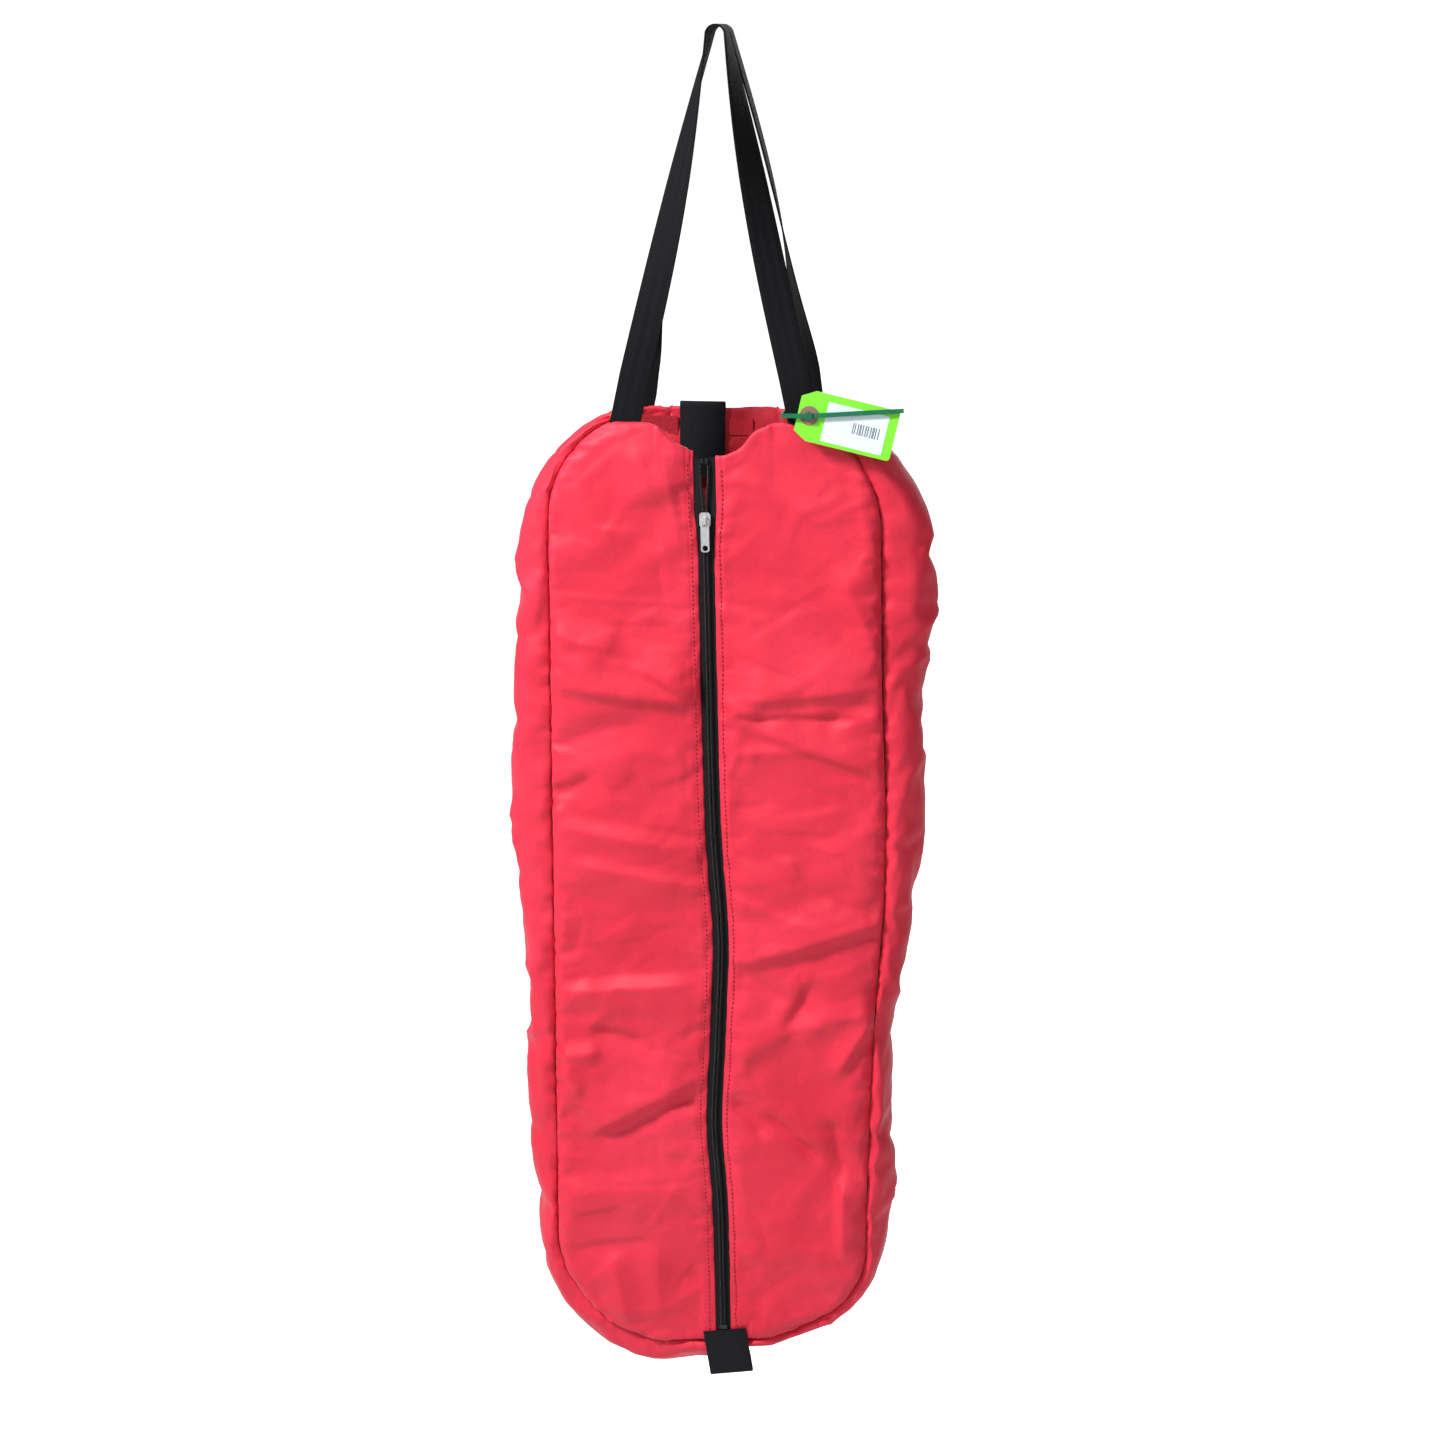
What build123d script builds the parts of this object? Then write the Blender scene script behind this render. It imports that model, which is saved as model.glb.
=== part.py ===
from build123d import *
import os
from math import atan2, cos, degrees, pi, radians, sin, sqrt

# A long padded nylon tack bag that hangs by two webbing loops, with a full-length zip down its front
# and an open mouth at the top. Millimetres. The origin is where the loops rest on a hook, on the
# underside of the webbing. +Z is up, the zip faces -Y and +X is to the right as the zip is seen.

# ---------------------------------------------------------------- body outline, seen from the front
HALF_WIDTH = 138.0  # centre line to the side seam
MOUTH_HALF = 86.0  # half the straight top edge
MOUTH_Z = -313.0  # front top edge beside the loops
BACK_RISE = 5.0  # the back's top edge stands this much higher
SHOULDER_DROP = 82.0  # from the top edge down to the full width
BOTTOM_Z = -1117.0
BOTTOM_RADIUS = 95.0
HALF_DEPTH = 33.0  # centre plane to the outer face of the front and of the back

# ---------------------------------------------------------------- layers, outside to inside
SHELL = 0.6
PADDING = 3.0
LINING = 0.6
WALL = SHELL + PADDING + LINING
PADDING_FACE = HALF_DEPTH - SHELL
LINING_FACE = PADDING_FACE - PADDING
INNER_FACE = HALF_DEPTH - WALL

# ---------------------------------------------------------------- gusset
GUSSET_BULGE = 27.0  # how far the side strip stands out beyond the seams
SHOULDER_BULGE = 12.0  # the same at the shoulders, where the strip is pulled flatter
BULGE_RUN = 80.0  # length over which one bulge grows into the other
BINDING_WIDTH = 8.0
BINDING_THICK = 1.5
BINDING_INSET = 2.0

# ---------------------------------------------------------------- zip
ZIP_TILT = 1.2  # degrees, lower end towards +X
ZIP_DIP = 28.0  # the front's top edge falls this far from the loops to the zip
DIP_HALF = 57.0  # where that fall starts
ZIP_END_Z = -1105.0
SHELL_EDGE = 6.0  # centre of the zip to the shell's folded edge
LINING_EDGE = 9.0
PADDING_EDGE = 17.0
TAPE_START = 1.0
TAPE_END = 15.5
TAPE_THICK = 0.6
COIL_START = 0.7
COIL_END = 3.0
COIL_THICK = 2.2
COIL_ROUND = 0.7
STOP_LENGTH = 4.0
STOP_CLEAR = 0.3
STOP_EXTRA = 0.4  # a top stop is this much wider than the coil
SLIDER_REST = 50.0  # top end of the zip to the slider's middle
SLIDER_LENGTH = 12.0
SLIDER_WIDTH = 9.0
SLIDER_ROUND = 2.4
PLATE = 1.2
BACK_PLATE = 1.0
BACK_PLATE_LENGTH = 11.0
RUNNING_GAP = 0.3
POST_WIDTH = 0.7
POST_LENGTH = 3.0
FLANGE_OUT = 4.5
FLANGE_IN = 3.4
FLANGE_LENGTH = 7.0
FLANGE_TO_TAPE = 0.6
CROWN_WIDTH = 2.4
CROWN_LENGTH = 7.0
CROWN_HEIGHT = 3.2
CROWN_WALL = 1.0
CROWN_ROUND = 1.4
BAR_AHEAD = 1.1  # the pull's bar runs this far in front of the slider's plate
PULL_THICK = 1.2
PULL_WIDTH = 7.0
PULL_LENGTH = 27.0
PULL_SLOT_WIDTH = 3.4
PULL_SLOT_LENGTH = 5.0
PULL_SLOT_ROUND = 0.8
PULL_HOLE_RADIUS = 2.4
PULL_HOLE_INSET = 3.8

# ---------------------------------------------------------------- webbing loops
WEB_WIDTH = 25.0
WEB_THICK = 1.5
LOOP_BASE_X = 73.0  # centre of a leg at the top edge
HOOK_RADIUS = 7.0  # the rod that the loops hang on
LOOP_SPACING = 27.0  # the two loops lie side by side on the rod
SEWN_LENGTH = 28.0  # of each leg, between shell and lining
FRONT_STUB = 38.0  # top edge to the bend, above the tag
BACK_STUB = 12.0
BEND_RADIUS = 0.95  # the fold at a bend is a little thicker than the webbing
BEND_GAP = 2.3  # sewn end to bend, so that a loop can fold right over
FRONT_BOW = -2.0  # sideways bow of the legs
BACK_BOW = 8.0
BACK_FLAT = 0.93  # past this share of its length a back leg lies flat to the bag
LEG_STATIONS = 9
PAST_BEND = 1.04  # a leg is drawn this far past its bend, and then cut off at it
ARC_STATIONS = 5
SLOPE_ROUNDS = 20
FRONT_TWIST_POWER = 1.5
BACK_TWIST_POWER = 4.5

# ---------------------------------------------------------------- mouth strap and bottom tab
BROAD_WIDTH = 38.0
BROAD_THICK = 1.6
STRAP_X = -18.0
STRAP_FALL = 60.0
STRAP_RISE = 3.0
STRAP_FOLD = 1.9
STRAP_HEM = 12.0
TAB_X = 10.0
TAB_TOP_Z = -1106.0
TAB_LENGTH = 41.0
TAB_TURN = 9.0
TAB_FOLD_GAP = 0.4
TAB_BACK_DROP = 11.0  # seam to the upper end of the back layer

# ---------------------------------------------------------------- patches inside the back
PATCH_THICK = 0.8
PATCH_ROUND = 2.0
POCKET_CLEAR = 0.2  # round the webbing that is sewn into a wall

# ---------------------------------------------------------------- tag and its cable tie
TAG_X = 79.0
TAG_Y = -46.0
TIE_RISE = 10.0  # above the front's top edge
TAG_LENGTH = 80.0
TAG_HALF = 20.6
TAG_SLOPE = 12.8
TAG_THICK = 0.5
TAG_CLIP_LONG = 11.0
TAG_CLIP_SHORT = 6.4
TAG_ROUND = 3.0
EYELET_INSET = 9.5
EYELET_RADIUS = 7.75
EYELET_HOLE = 3.0
EYELET_WALL = 0.4
EYELET_FLANGE = 0.5
EYELET_TO_LABEL = 0.2
LABEL_LENGTH = 50.0
LABEL_WIDTH = 32.0
LABEL_THICK = 0.2
LABEL_START = 13.0
LABEL_DROP = 1.5  # below the card's middle line
TIE_WIDTH = 3.6
TIE_THICK = 1.1
TIE_HEAD = (5.4, 3.6, 5.2)
TIE_TAIL = 76.0
TIE_TAIL_RISE = 4.2
TIE_TO_WEB = 0.6
TIE_HEAD_AHEAD = 3.2  # the head's middle is this far in front of the card
TIE_BEHIND_CARD = 4.0
TIE_OFFSET = 0.4
TIE_ROUND = 1.2

FAR = 600.0  # larger than any part of the body, for cutting

zip_top_z = MOUTH_Z - ZIP_DIP
zip_mid_z = (zip_top_z + ZIP_END_Z) / 2
zip_half = (zip_top_z - ZIP_END_Z) / 2
zip_frame = Pos(0, 0, zip_mid_z) * Rot(0, -ZIP_TILT, 0)
shoulder_run = HALF_WIDTH - MOUTH_HALF
shoulder_radius = (shoulder_run**2 + SHOULDER_DROP**2) / (2 * shoulder_run)
shoulder_x = HALF_WIDTH - shoulder_radius
shoulder_z = MOUTH_Z - SHOULDER_DROP
corner_x = HALF_WIDTH - BOTTOM_RADIUS
corner_z = BOTTOM_Z + BOTTOM_RADIUS
web_plane = (PADDING_FACE + LINING_FACE) / 2  # the sewn webbing lies in the middle of the wall


def slab(face, y_low, y_high):
    """A flat face drawn in X and Z, as a plate between two values of Y."""
    return extrude(Plane.XZ.offset(-y_high) * face, amount=y_high - y_low)


def front_slab(face, outer, thick):
    return slab(face, -outer, thick - outer)


def back_slab(face, outer, thick):
    return slab(face, outer - thick, outer)


# ---------------------------------------------------------------- front and back walls
def body_outline(rise):
    """The seam line: a straight mouth, round shoulders, straight sides and round bottom corners."""
    turn = degrees(atan2(SHOULDER_DROP, MOUTH_HALF - shoulder_x))
    right = [
        Line((0, MOUTH_Z), (MOUTH_HALF, MOUTH_Z)),
        CenterArc((shoulder_x, shoulder_z), shoulder_radius, 0, turn),
        Line((HALF_WIDTH, shoulder_z), (HALF_WIDTH, corner_z)),
        CenterArc((corner_x, corner_z), BOTTOM_RADIUS, 270, 90),
        Line((corner_x, BOTTOM_Z), (0, BOTTOM_Z)),
    ]
    edges = Curve() + right
    face = make_face(edges + mirror(edges, about=Plane.YZ))
    if rise:
        slant = rise / 2
        top = MOUTH_Z + rise
        face += make_face(
            Polyline(
                (-MOUTH_HALF, MOUTH_Z),
                (slant - MOUTH_HALF, top),
                (MOUTH_HALF - slant, top),
                (MOUTH_HALF, MOUTH_Z),
                close=True,
            )
        )
    return face


def beside_zip(side, edge):
    """Everything on one side of the zip, from this far off its centre line."""
    half_plane = Pos(side * (edge + FAR), 0) * Rectangle(2 * FAR, 4 * FAR)
    return Pos(0, zip_mid_z) * Rot(0, 0, ZIP_TILT) * half_plane


def front_half(side, edge):
    """One front half, with the top edge that falls towards the zip."""
    zip_x = -zip_half * sin(radians(ZIP_TILT))
    dip = make_face(
        Polyline(
            (-DIP_HALF, MOUTH_Z),
            (zip_x - SHELL_EDGE, zip_top_z),
            (zip_x + SHELL_EDGE, zip_top_z),
            (DIP_HALF, MOUTH_Z),
            close=True,
        )
    )
    return (body_outline(0) - dip) & beside_zip(side, edge)


def seam_binding(place):
    """The tape that covers the raw seam edges inside, round the sides and bottom."""
    outline = body_outline(0)
    inner = BINDING_INSET + BINDING_WIDTH
    ring = offset(outline, amount=-BINDING_INSET) - offset(outline, amount=-inner)
    ring -= Pos(0, MOUTH_Z - inner - 1 + FAR) * Rectangle(2 * FAR, 2 * FAR)
    return place(ring, INNER_FACE, BINDING_THICK)


# ---------------------------------------------------------------- gusset
def gusset_section(bulge, outer, inner):
    """A crescent from the front seam to the back seam. X is the distance outside the seams."""
    radius = (HALF_DEPTH**2 + bulge**2) / (2 * bulge)
    ring = Circle(radius - outer) - Circle(radius - inner)
    return (Pos(bulge - radius, 0) * ring) & (Pos(FAR, 0) * Rectangle(2 * FAR, 2 * FAR))


def gusset_layer(outer, inner):
    """One layer of the side strip: down a shoulder and a side, round a corner and under the bag."""
    flat = gusset_section(SHOULDER_BULGE, outer, inner)
    full = gusset_section(GUSSET_BULGE, outer, inner)
    turn = degrees(atan2(SHOULDER_DROP, MOUTH_HALF - shoulder_x))
    side_top = shoulder_z - BULGE_RUN
    shoulder_start = Pos(HALF_WIDTH, 0, shoulder_z) * flat
    side_start = Pos(HALF_WIDTH, 0, side_top) * full
    corner_start = Pos(HALF_WIDTH, 0, corner_z) * full
    under = Plane(origin=(corner_x, 0, BOTTOM_Z), x_dir=(0, 0, -1), z_dir=(-1, 0, 0))
    right = revolve(shoulder_start, Axis((shoulder_x, 0, shoulder_z), (0, -1, 0)), turn)
    right += loft([side_start, shoulder_start])
    right += extrude(corner_start, amount=side_top - corner_z)
    right += revolve(corner_start, Axis((corner_x, 0, corner_z), (0, 1, 0)), 90)
    right += extrude(under * full, amount=corner_x)
    return right + mirror(right, about=Plane.YZ)


# ---------------------------------------------------------------- webbing loops
def leg_angle():
    """Slope of a leg from its base to where it leaves the hook, solved by repeated substitution."""
    radius = HOOK_RADIUS + WEB_THICK / 2
    angle = 0.0
    for _ in range(SLOPE_ROUNDS):
        across = LOOP_BASE_X - radius * cos(angle)
        down = -MOUTH_Z - HOOK_RADIUS + radius * sin(angle)
        angle = atan2(across, down)
    return angle


leg_slope = leg_angle()


def leg_x(z):
    """Centre of a leg where it is straight, at this height."""
    return LOOP_BASE_X - (z - MOUTH_Z) * sin(leg_slope) / cos(leg_slope)


def leg_strip(z_low, z_high):
    """Front view of a straight stretch of the right leg."""
    half = WEB_WIDTH / 2 / cos(leg_slope)
    return make_face(
        Polyline(
            (leg_x(z_low) - half, z_low),
            (leg_x(z_low) + half, z_low),
            (leg_x(z_high) + half, z_high),
            (leg_x(z_high) - half, z_high),
            close=True,
        )
    )


def sewn_ends(y_middle, edge_z, stub, sewn_length, grow=0.0):
    """Both sewn ends of a loop: the part inside the wall and the stub above the edge."""
    top = edge_z + stub - BEND_RADIUS - BEND_GAP
    face = leg_strip(edge_z - sewn_length - grow, top)
    half = WEB_THICK / 2 + grow
    right = slab(face, y_middle - half, y_middle + half)
    return right + mirror(right, about=Plane.YZ)


def front_twist(share):
    """Twist from the hook, share 0, to the bend, share 1: mostly in the upper half."""
    return pi / 2 * (1 - share) ** FRONT_TWIST_POWER


def back_twist(share):
    """The back loop keeps its edge forward, turns near its base and ends flat."""
    return pi / 2 * (1 - min(share / BACK_FLAT, 1.0) ** BACK_TWIST_POWER)


def loop(facing, bend_z, bow, twist):
    """A loop from bend to bend. Facing is -1 for the front loop and 1 for the back one."""
    radius = HOOK_RADIUS + WEB_THICK / 2
    y_top = facing * LOOP_SPACING / 2
    y_low = facing * web_plane
    x_top = radius * cos(leg_slope)
    z_top = radius * sin(leg_slope) - HOOK_RADIUS
    section = Rectangle(WEB_WIDTH, WEB_THICK)
    right = []
    left = []
    shares = [PAST_BEND] + [1 - station / (LEG_STATIONS - 1) for station in range(LEG_STATIONS)]
    for share in shares:
        turn = twist(min(share, 1.0))
        side = bow * sin(pi * min(share, 1.0))
        x = x_top + (leg_x(bend_z) - x_top) * share + side
        y = y_top + (y_low - y_top) * share
        z = z_top + (bend_z - z_top) * share
        across = cos(turn) * cos(leg_slope)
        up = cos(turn) * sin(leg_slope)
        deep = -facing * sin(turn)
        for mirrored, legs in ((1, right), (-1, left)):
            tangent = (-sin(leg_slope), 0, mirrored * cos(leg_slope))
            plane = Plane(
                origin=(mirrored * x, y, z), x_dir=(mirrored * across, deep, up), z_dir=tangent
            )
            legs.append(plane * section)
    over = []
    for station in range(1, ARC_STATIONS + 1):
        angle = leg_slope + (pi - 2 * leg_slope) * station / (ARC_STATIONS + 1)
        plane = Plane(
            origin=(radius * cos(angle), y_top, radius * sin(angle) - HOOK_RADIUS),
            x_dir=(0, -facing, 0),
            z_dir=(-sin(angle), 0, cos(angle)),
        )
        over.append(plane * section)
    ribbon = loft([*right, *over, *reversed(left)], ruled=True)
    ribbon -= Pos(0, 0, bend_z - FAR) * Box(2 * FAR, 2 * FAR, 2 * FAR)
    roll = Rot(0, 90, 0) * Cylinder(BEND_RADIUS, WEB_WIDTH)
    for mirrored in (1, -1):
        ribbon += Pos(mirrored * leg_x(bend_z), y_low, bend_z) * roll
    return ribbon


# ---------------------------------------------------------------- zip, in its own frame
def zip_bar(side, start, end, y_low, y_high, z_low, z_high):
    """A straight bar beside the zip's centre line, in the zip's frame."""
    middle = (side * (start + end) / 2, (y_low + y_high) / 2, (z_low + z_high) / 2)
    return Pos(*middle) * Box(end - start, y_high - y_low, z_high - z_low)


tape_front = -PADDING_FACE  # the tape lies behind the shell
tape_back = tape_front + TAPE_THICK
coil_front = tape_front - COIL_THICK
slider_z = zip_half - SLIDER_REST
plate_back = coil_front - RUNNING_GAP
plate_front = plate_back - PLATE
bar_y = plate_front - BAR_AHEAD


def tape(side):
    return zip_frame * zip_bar(side, TAPE_START, TAPE_END, tape_front, tape_back, -zip_half, zip_half)


def coil(side):
    start = STOP_LENGTH + STOP_CLEAR
    bar = zip_bar(side, COIL_START, COIL_END, coil_front, tape_front, start - zip_half, zip_half - start)
    return zip_frame * fillet(bar.edges().filter_by(Axis.Z).group_by(Axis.Y)[0], COIL_ROUND)


def top_stops():
    low = zip_half - STOP_LENGTH
    end = COIL_END + STOP_EXTRA
    stops = [
        zip_frame * zip_bar(side, COIL_START, end, coil_front, tape_front, low, zip_half)
        for side in (-1, 1)
    ]
    return Compound(stops)


def bottom_stop():
    width = 2 * (COIL_END + STOP_EXTRA)
    block = Box(width, COIL_THICK, STOP_LENGTH)
    return zip_frame * Pos(0, (coil_front + tape_front) / 2, STOP_LENGTH / 2 - zip_half) * block


def slider():
    """Front and back plates joined by a post between the coils, with side flanges and a crown."""
    plate_y = (plate_front + plate_back) / 2
    plate = Pos(0, plate_y, 0) * Box(SLIDER_WIDTH, PLATE, SLIDER_LENGTH)
    body = fillet(plate.edges().filter_by(Axis.Y), SLIDER_ROUND)
    back_y = tape_back + RUNNING_GAP + BACK_PLATE / 2
    back = Pos(0, back_y, 0) * Box(SLIDER_WIDTH, BACK_PLATE, BACK_PLATE_LENGTH)
    body += fillet(back.edges().filter_by(Axis.Y), SLIDER_ROUND)
    post_z = SLIDER_LENGTH / 4
    body += Pos(0, (plate_y + back_y) / 2, post_z) * Box(POST_WIDTH, back_y - plate_y, POST_LENGTH)
    flange_end = tape_front - FLANGE_TO_TAPE
    flange_top = FLANGE_LENGTH / 2
    for side in (-1, 1):
        body += zip_bar(side, FLANGE_IN, FLANGE_OUT, plate_y, flange_end, -flange_top, flange_top)
    crown_front = plate_front - CROWN_HEIGHT
    crown = Pos(0, (crown_front + plate_y) / 2, 0) * Box(
        CROWN_WIDTH, plate_y - crown_front, CROWN_LENGTH
    )
    crown = fillet(crown.edges().filter_by(Axis.X).group_by(Axis.Y)[0], CROWN_ROUND)
    hole_front = crown_front + CROWN_WALL
    hole_length = CROWN_LENGTH - 2 * CROWN_WALL
    hole = Pos(0, (hole_front + plate_front) / 2, 0) * Box(
        2 * CROWN_WIDTH, plate_front - hole_front, hole_length
    )
    body += crown - hole
    return zip_frame * Pos(0, 0, slider_z) * body


def pull():
    """A flat tongue with a bar through the crown and a round hole at its free end."""
    outline = Pos(0, (PULL_THICK - PULL_LENGTH) / 2) * Rectangle(PULL_WIDTH, PULL_LENGTH)
    outline = fillet(outline.vertices().group_by(Axis.Y)[0], PULL_WIDTH / 3)
    slot_middle = -PULL_SLOT_LENGTH / 2 - PULL_THICK / 2
    outline -= Pos(0, slot_middle) * RectangleRounded(
        PULL_SLOT_WIDTH, PULL_SLOT_LENGTH, PULL_SLOT_ROUND
    )
    outline -= Pos(0, PULL_HOLE_INSET - PULL_LENGTH) * Circle(PULL_HOLE_RADIUS)
    tongue = slab(outline, -PULL_THICK / 2, PULL_THICK / 2)
    top_edges = tongue.edges().filter_by(Axis.X).group_by(Axis.Z)[-1]
    tongue = fillet(top_edges, PULL_THICK / 2 - 0.05)
    return zip_frame * Pos(0, bar_y, slider_z) * tongue


# ---------------------------------------------------------------- mouth strap and bottom tab
strap_bend_z = MOUTH_Z + BACK_RISE + STRAP_RISE


def mouth_strap_end():
    """The strap's sewn end, in the back's top hem."""
    low = MOUTH_Z + BACK_RISE - SEWN_LENGTH
    high = strap_bend_z - BEND_RADIUS - BEND_GAP
    middle = (STRAP_X, web_plane, (low + high) / 2)
    return Pos(*middle) * Box(BROAD_WIDTH, BROAD_THICK, high - low)


def mouth_strap():
    """From its bend the strap turns over and hangs down inside the mouth, with a hemmed end."""
    fold_y = web_plane - 2 * STRAP_FOLD
    path = Curve() + [
        CenterArc((web_plane - STRAP_FOLD, strap_bend_z), STRAP_FOLD, 0, 180),
        Line((fold_y, strap_bend_z), (fold_y, strap_bend_z - STRAP_FALL)),
    ]
    side_view = trace(path, line_width=BROAD_THICK)
    side_view += Pos(web_plane, strap_bend_z) * Circle(BEND_RADIUS)
    hem_y = fold_y - BROAD_THICK
    hem_z = strap_bend_z - STRAP_FALL + STRAP_HEM / 2
    side_view += Pos(hem_y, hem_z) * Rectangle(BROAD_THICK, STRAP_HEM)
    return extrude(Plane.YZ.offset(STRAP_X - BROAD_WIDTH / 2) * side_view, amount=BROAD_WIDTH)


def bottom_tab():
    """A strip folded in two, sewn over the bottom seam and the end of the zip."""
    front_y = -HALF_DEPTH - BROAD_THICK / 2
    layer_step = BROAD_THICK + TAB_FOLD_GAP
    fold_radius = layer_step / 2
    fold_z = TAB_TOP_Z - TAB_LENGTH + fold_radius + BROAD_THICK / 2
    back_top = BOTTOM_Z - TAB_BACK_DROP
    path = Curve() + [
        Line((front_y, TAB_TOP_Z), (front_y, fold_z)),
        CenterArc((front_y + fold_radius, fold_z), fold_radius, 180, 180),
        Line((front_y + layer_step, fold_z), (front_y + layer_step, back_top)),
    ]
    side_view = trace(path, line_width=BROAD_THICK)
    strip = extrude(Plane.YZ.offset(-BROAD_WIDTH / 2) * side_view, amount=BROAD_WIDTH)
    pivot = (TAB_TOP_Z + BOTTOM_Z) / 2
    return Pos(TAB_X, 0, pivot) * Rot(0, -TAB_TURN, 0) * Pos(0, 0, -pivot) * strip


# ---------------------------------------------------------------- patches inside the back
def inner_patch(x, z, width, height):
    """A flat patch sewn on the lining of the back, near the mouth."""
    face = Pos(x, z) * RectangleRounded(width, height, PATCH_ROUND)
    return back_slab(face, INNER_FACE, PATCH_THICK)


# ---------------------------------------------------------------- tag and cable tie
tie_z = MOUTH_Z + TIE_RISE
tag_frame = Pos(TAG_X, 0, tie_z) * Rot(0, TAG_SLOPE, 0)


def tag_card():
    near = -EYELET_INSET
    far = near + TAG_LENGTH
    outline = make_face(
        Polyline(
            (near, TAG_CLIP_SHORT - TAG_HALF),
            (near + TAG_CLIP_LONG, -TAG_HALF),
            (far, -TAG_HALF),
            (far, TAG_HALF),
            (near + TAG_CLIP_LONG, TAG_HALF),
            (near, TAG_HALF - TAG_CLIP_SHORT),
            close=True,
        )
    )
    outline = fillet(outline.vertices().group_by(Axis.X)[-1], TAG_ROUND)
    outline -= Circle(EYELET_HOLE + EYELET_WALL)
    return tag_frame * slab(outline, TAG_Y - TAG_THICK / 2, TAG_Y + TAG_THICK / 2)


def tag_eyelet():
    """Two flanges joined by a tube through the card."""
    half = TAG_THICK / 2
    flange = Circle(EYELET_RADIUS) - Circle(EYELET_HOLE)
    tube = Circle(EYELET_HOLE + EYELET_WALL) - Circle(EYELET_HOLE)
    ring = slab(flange, TAG_Y - half - EYELET_FLANGE, TAG_Y - half)
    ring += slab(tube, TAG_Y - half, TAG_Y + half)
    ring += slab(flange, TAG_Y + half, TAG_Y + half + EYELET_FLANGE)
    return tag_frame * ring


def tag_label():
    face = Pos(LABEL_START + LABEL_LENGTH / 2, -LABEL_DROP) * Rectangle(LABEL_LENGTH, LABEL_WIDTH)
    face -= Circle(EYELET_RADIUS + EYELET_TO_LABEL)
    front = TAG_Y - TAG_THICK / 2
    return tag_frame * slab(face, front - LABEL_THICK, front)


def tag_tie():
    """A loop round the right front leg and through the eyelet, with its head and free tail."""
    leg = leg_x(tie_z)
    half = WEB_WIDTH / 2 / cos(leg_slope)
    gap = WEB_THICK / 2 + TIE_THICK / 2 + TIE_TO_WEB
    left = leg - half - TIE_THICK
    right = leg + half + TIE_THICK
    behind = gap - web_plane
    head_y = TAG_Y - TIE_HEAD_AHEAD
    loop_line = FilletPolyline(
        (TAG_X + TIE_OFFSET, head_y),
        (TAG_X + TIE_OFFSET, TAG_Y + TIE_BEHIND_CARD),
        (right, -web_plane - gap),
        (right, behind),
        (left, behind),
        (left, head_y),
        (TAG_X, head_y),
        radius=TIE_ROUND,
    )
    band = extrude(trace(loop_line, line_width=TIE_THICK), amount=TIE_WIDTH)
    tie = Pos(0, 0, tie_z - TIE_WIDTH / 2) * band
    tie += Pos(TAG_X, head_y, tie_z) * Box(*TIE_HEAD)
    tail = Pos(TIE_TAIL / 2, 0, 0) * Box(TIE_TAIL, TIE_THICK, TIE_WIDTH)
    tie += Pos(TAG_X, head_y, tie_z) * Rot(0, -TIE_TAIL_RISE, 0) * tail
    return tie


# ---------------------------------------------------------------- assembly
front_edge = MOUTH_Z
back_edge = MOUTH_Z + BACK_RISE
front_ends = sewn_ends(-web_plane, front_edge, FRONT_STUB, SEWN_LENGTH)
back_ends = sewn_ends(web_plane, back_edge, BACK_STUB, SEWN_LENGTH)
strap_end = mouth_strap_end()
front_pockets = sewn_ends(-web_plane, front_edge, FRONT_STUB, SEWN_LENGTH, grow=POCKET_CLEAR)
back_pockets = sewn_ends(web_plane, back_edge, BACK_STUB, SEWN_LENGTH, grow=POCKET_CLEAR)
strap_pocket = Pos(0, 0, -POCKET_CLEAR) * mouth_strap_end()
strap_pocket += Pos(STRAP_X, web_plane, back_edge - SEWN_LENGTH / 2) * Box(
    BROAD_WIDTH + 2 * POCKET_CLEAR, BROAD_THICK + 2 * POCKET_CLEAR, SEWN_LENGTH + 2 * POCKET_CLEAR
)

parts = {}
for name, side in (("left", -1), ("right", 1)):
    shell = front_half(side, SHELL_EDGE)
    padding = front_half(side, PADDING_EDGE)
    lining = front_half(side, LINING_EDGE)
    parts[f"front_{name}_shell"] = front_slab(shell, HALF_DEPTH, SHELL)
    parts[f"front_{name}_padding"] = front_slab(padding, PADDING_FACE, PADDING) - front_pockets
    parts[f"front_{name}_lining"] = front_slab(lining, LINING_FACE, LINING)
    parts[f"zipper_tape_{name}"] = tape(side)
    parts[f"zipper_coil_{name}"] = coil(side)

back = body_outline(BACK_RISE)
parts["back_shell"] = back_slab(back, HALF_DEPTH, SHELL)
parts["back_padding"] = back_slab(back, PADDING_FACE, PADDING) - back_pockets - strap_pocket
parts["back_lining"] = back_slab(back, LINING_FACE, LINING)
parts["gusset_shell"] = gusset_layer(0, SHELL)
parts["gusset_padding"] = gusset_layer(SHELL, SHELL + PADDING)
parts["gusset_lining"] = gusset_layer(SHELL + PADDING, WALL)
parts["front_seam_binding"] = seam_binding(front_slab)
parts["back_seam_binding"] = seam_binding(back_slab)
parts["zipper_top_stops"] = top_stops()
parts["zipper_bottom_stop"] = bottom_stop()
parts["zipper_slider"] = slider()
parts["zipper_pull"] = pull()
parts["front_loop_ends"] = front_ends
parts["back_loop_ends"] = back_ends
parts["front_loop"] = loop(-1, front_edge + FRONT_STUB, FRONT_BOW, front_twist)
parts["back_loop"] = loop(1, back_edge + BACK_STUB, BACK_BOW, back_twist)
parts["mouth_strap_end"] = strap_end
parts["mouth_strap"] = mouth_strap()
parts["bottom_tab"] = bottom_tab()
parts["hook_and_loop_patch"] = inner_patch(-55, MOUTH_Z - 12, 32, 20)
parts["reinforcement_patch"] = inner_patch(14, MOUTH_Z - 10, 20, 14)
parts["tag_card"] = tag_card()
parts["tag_eyelet"] = tag_eyelet()
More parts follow.
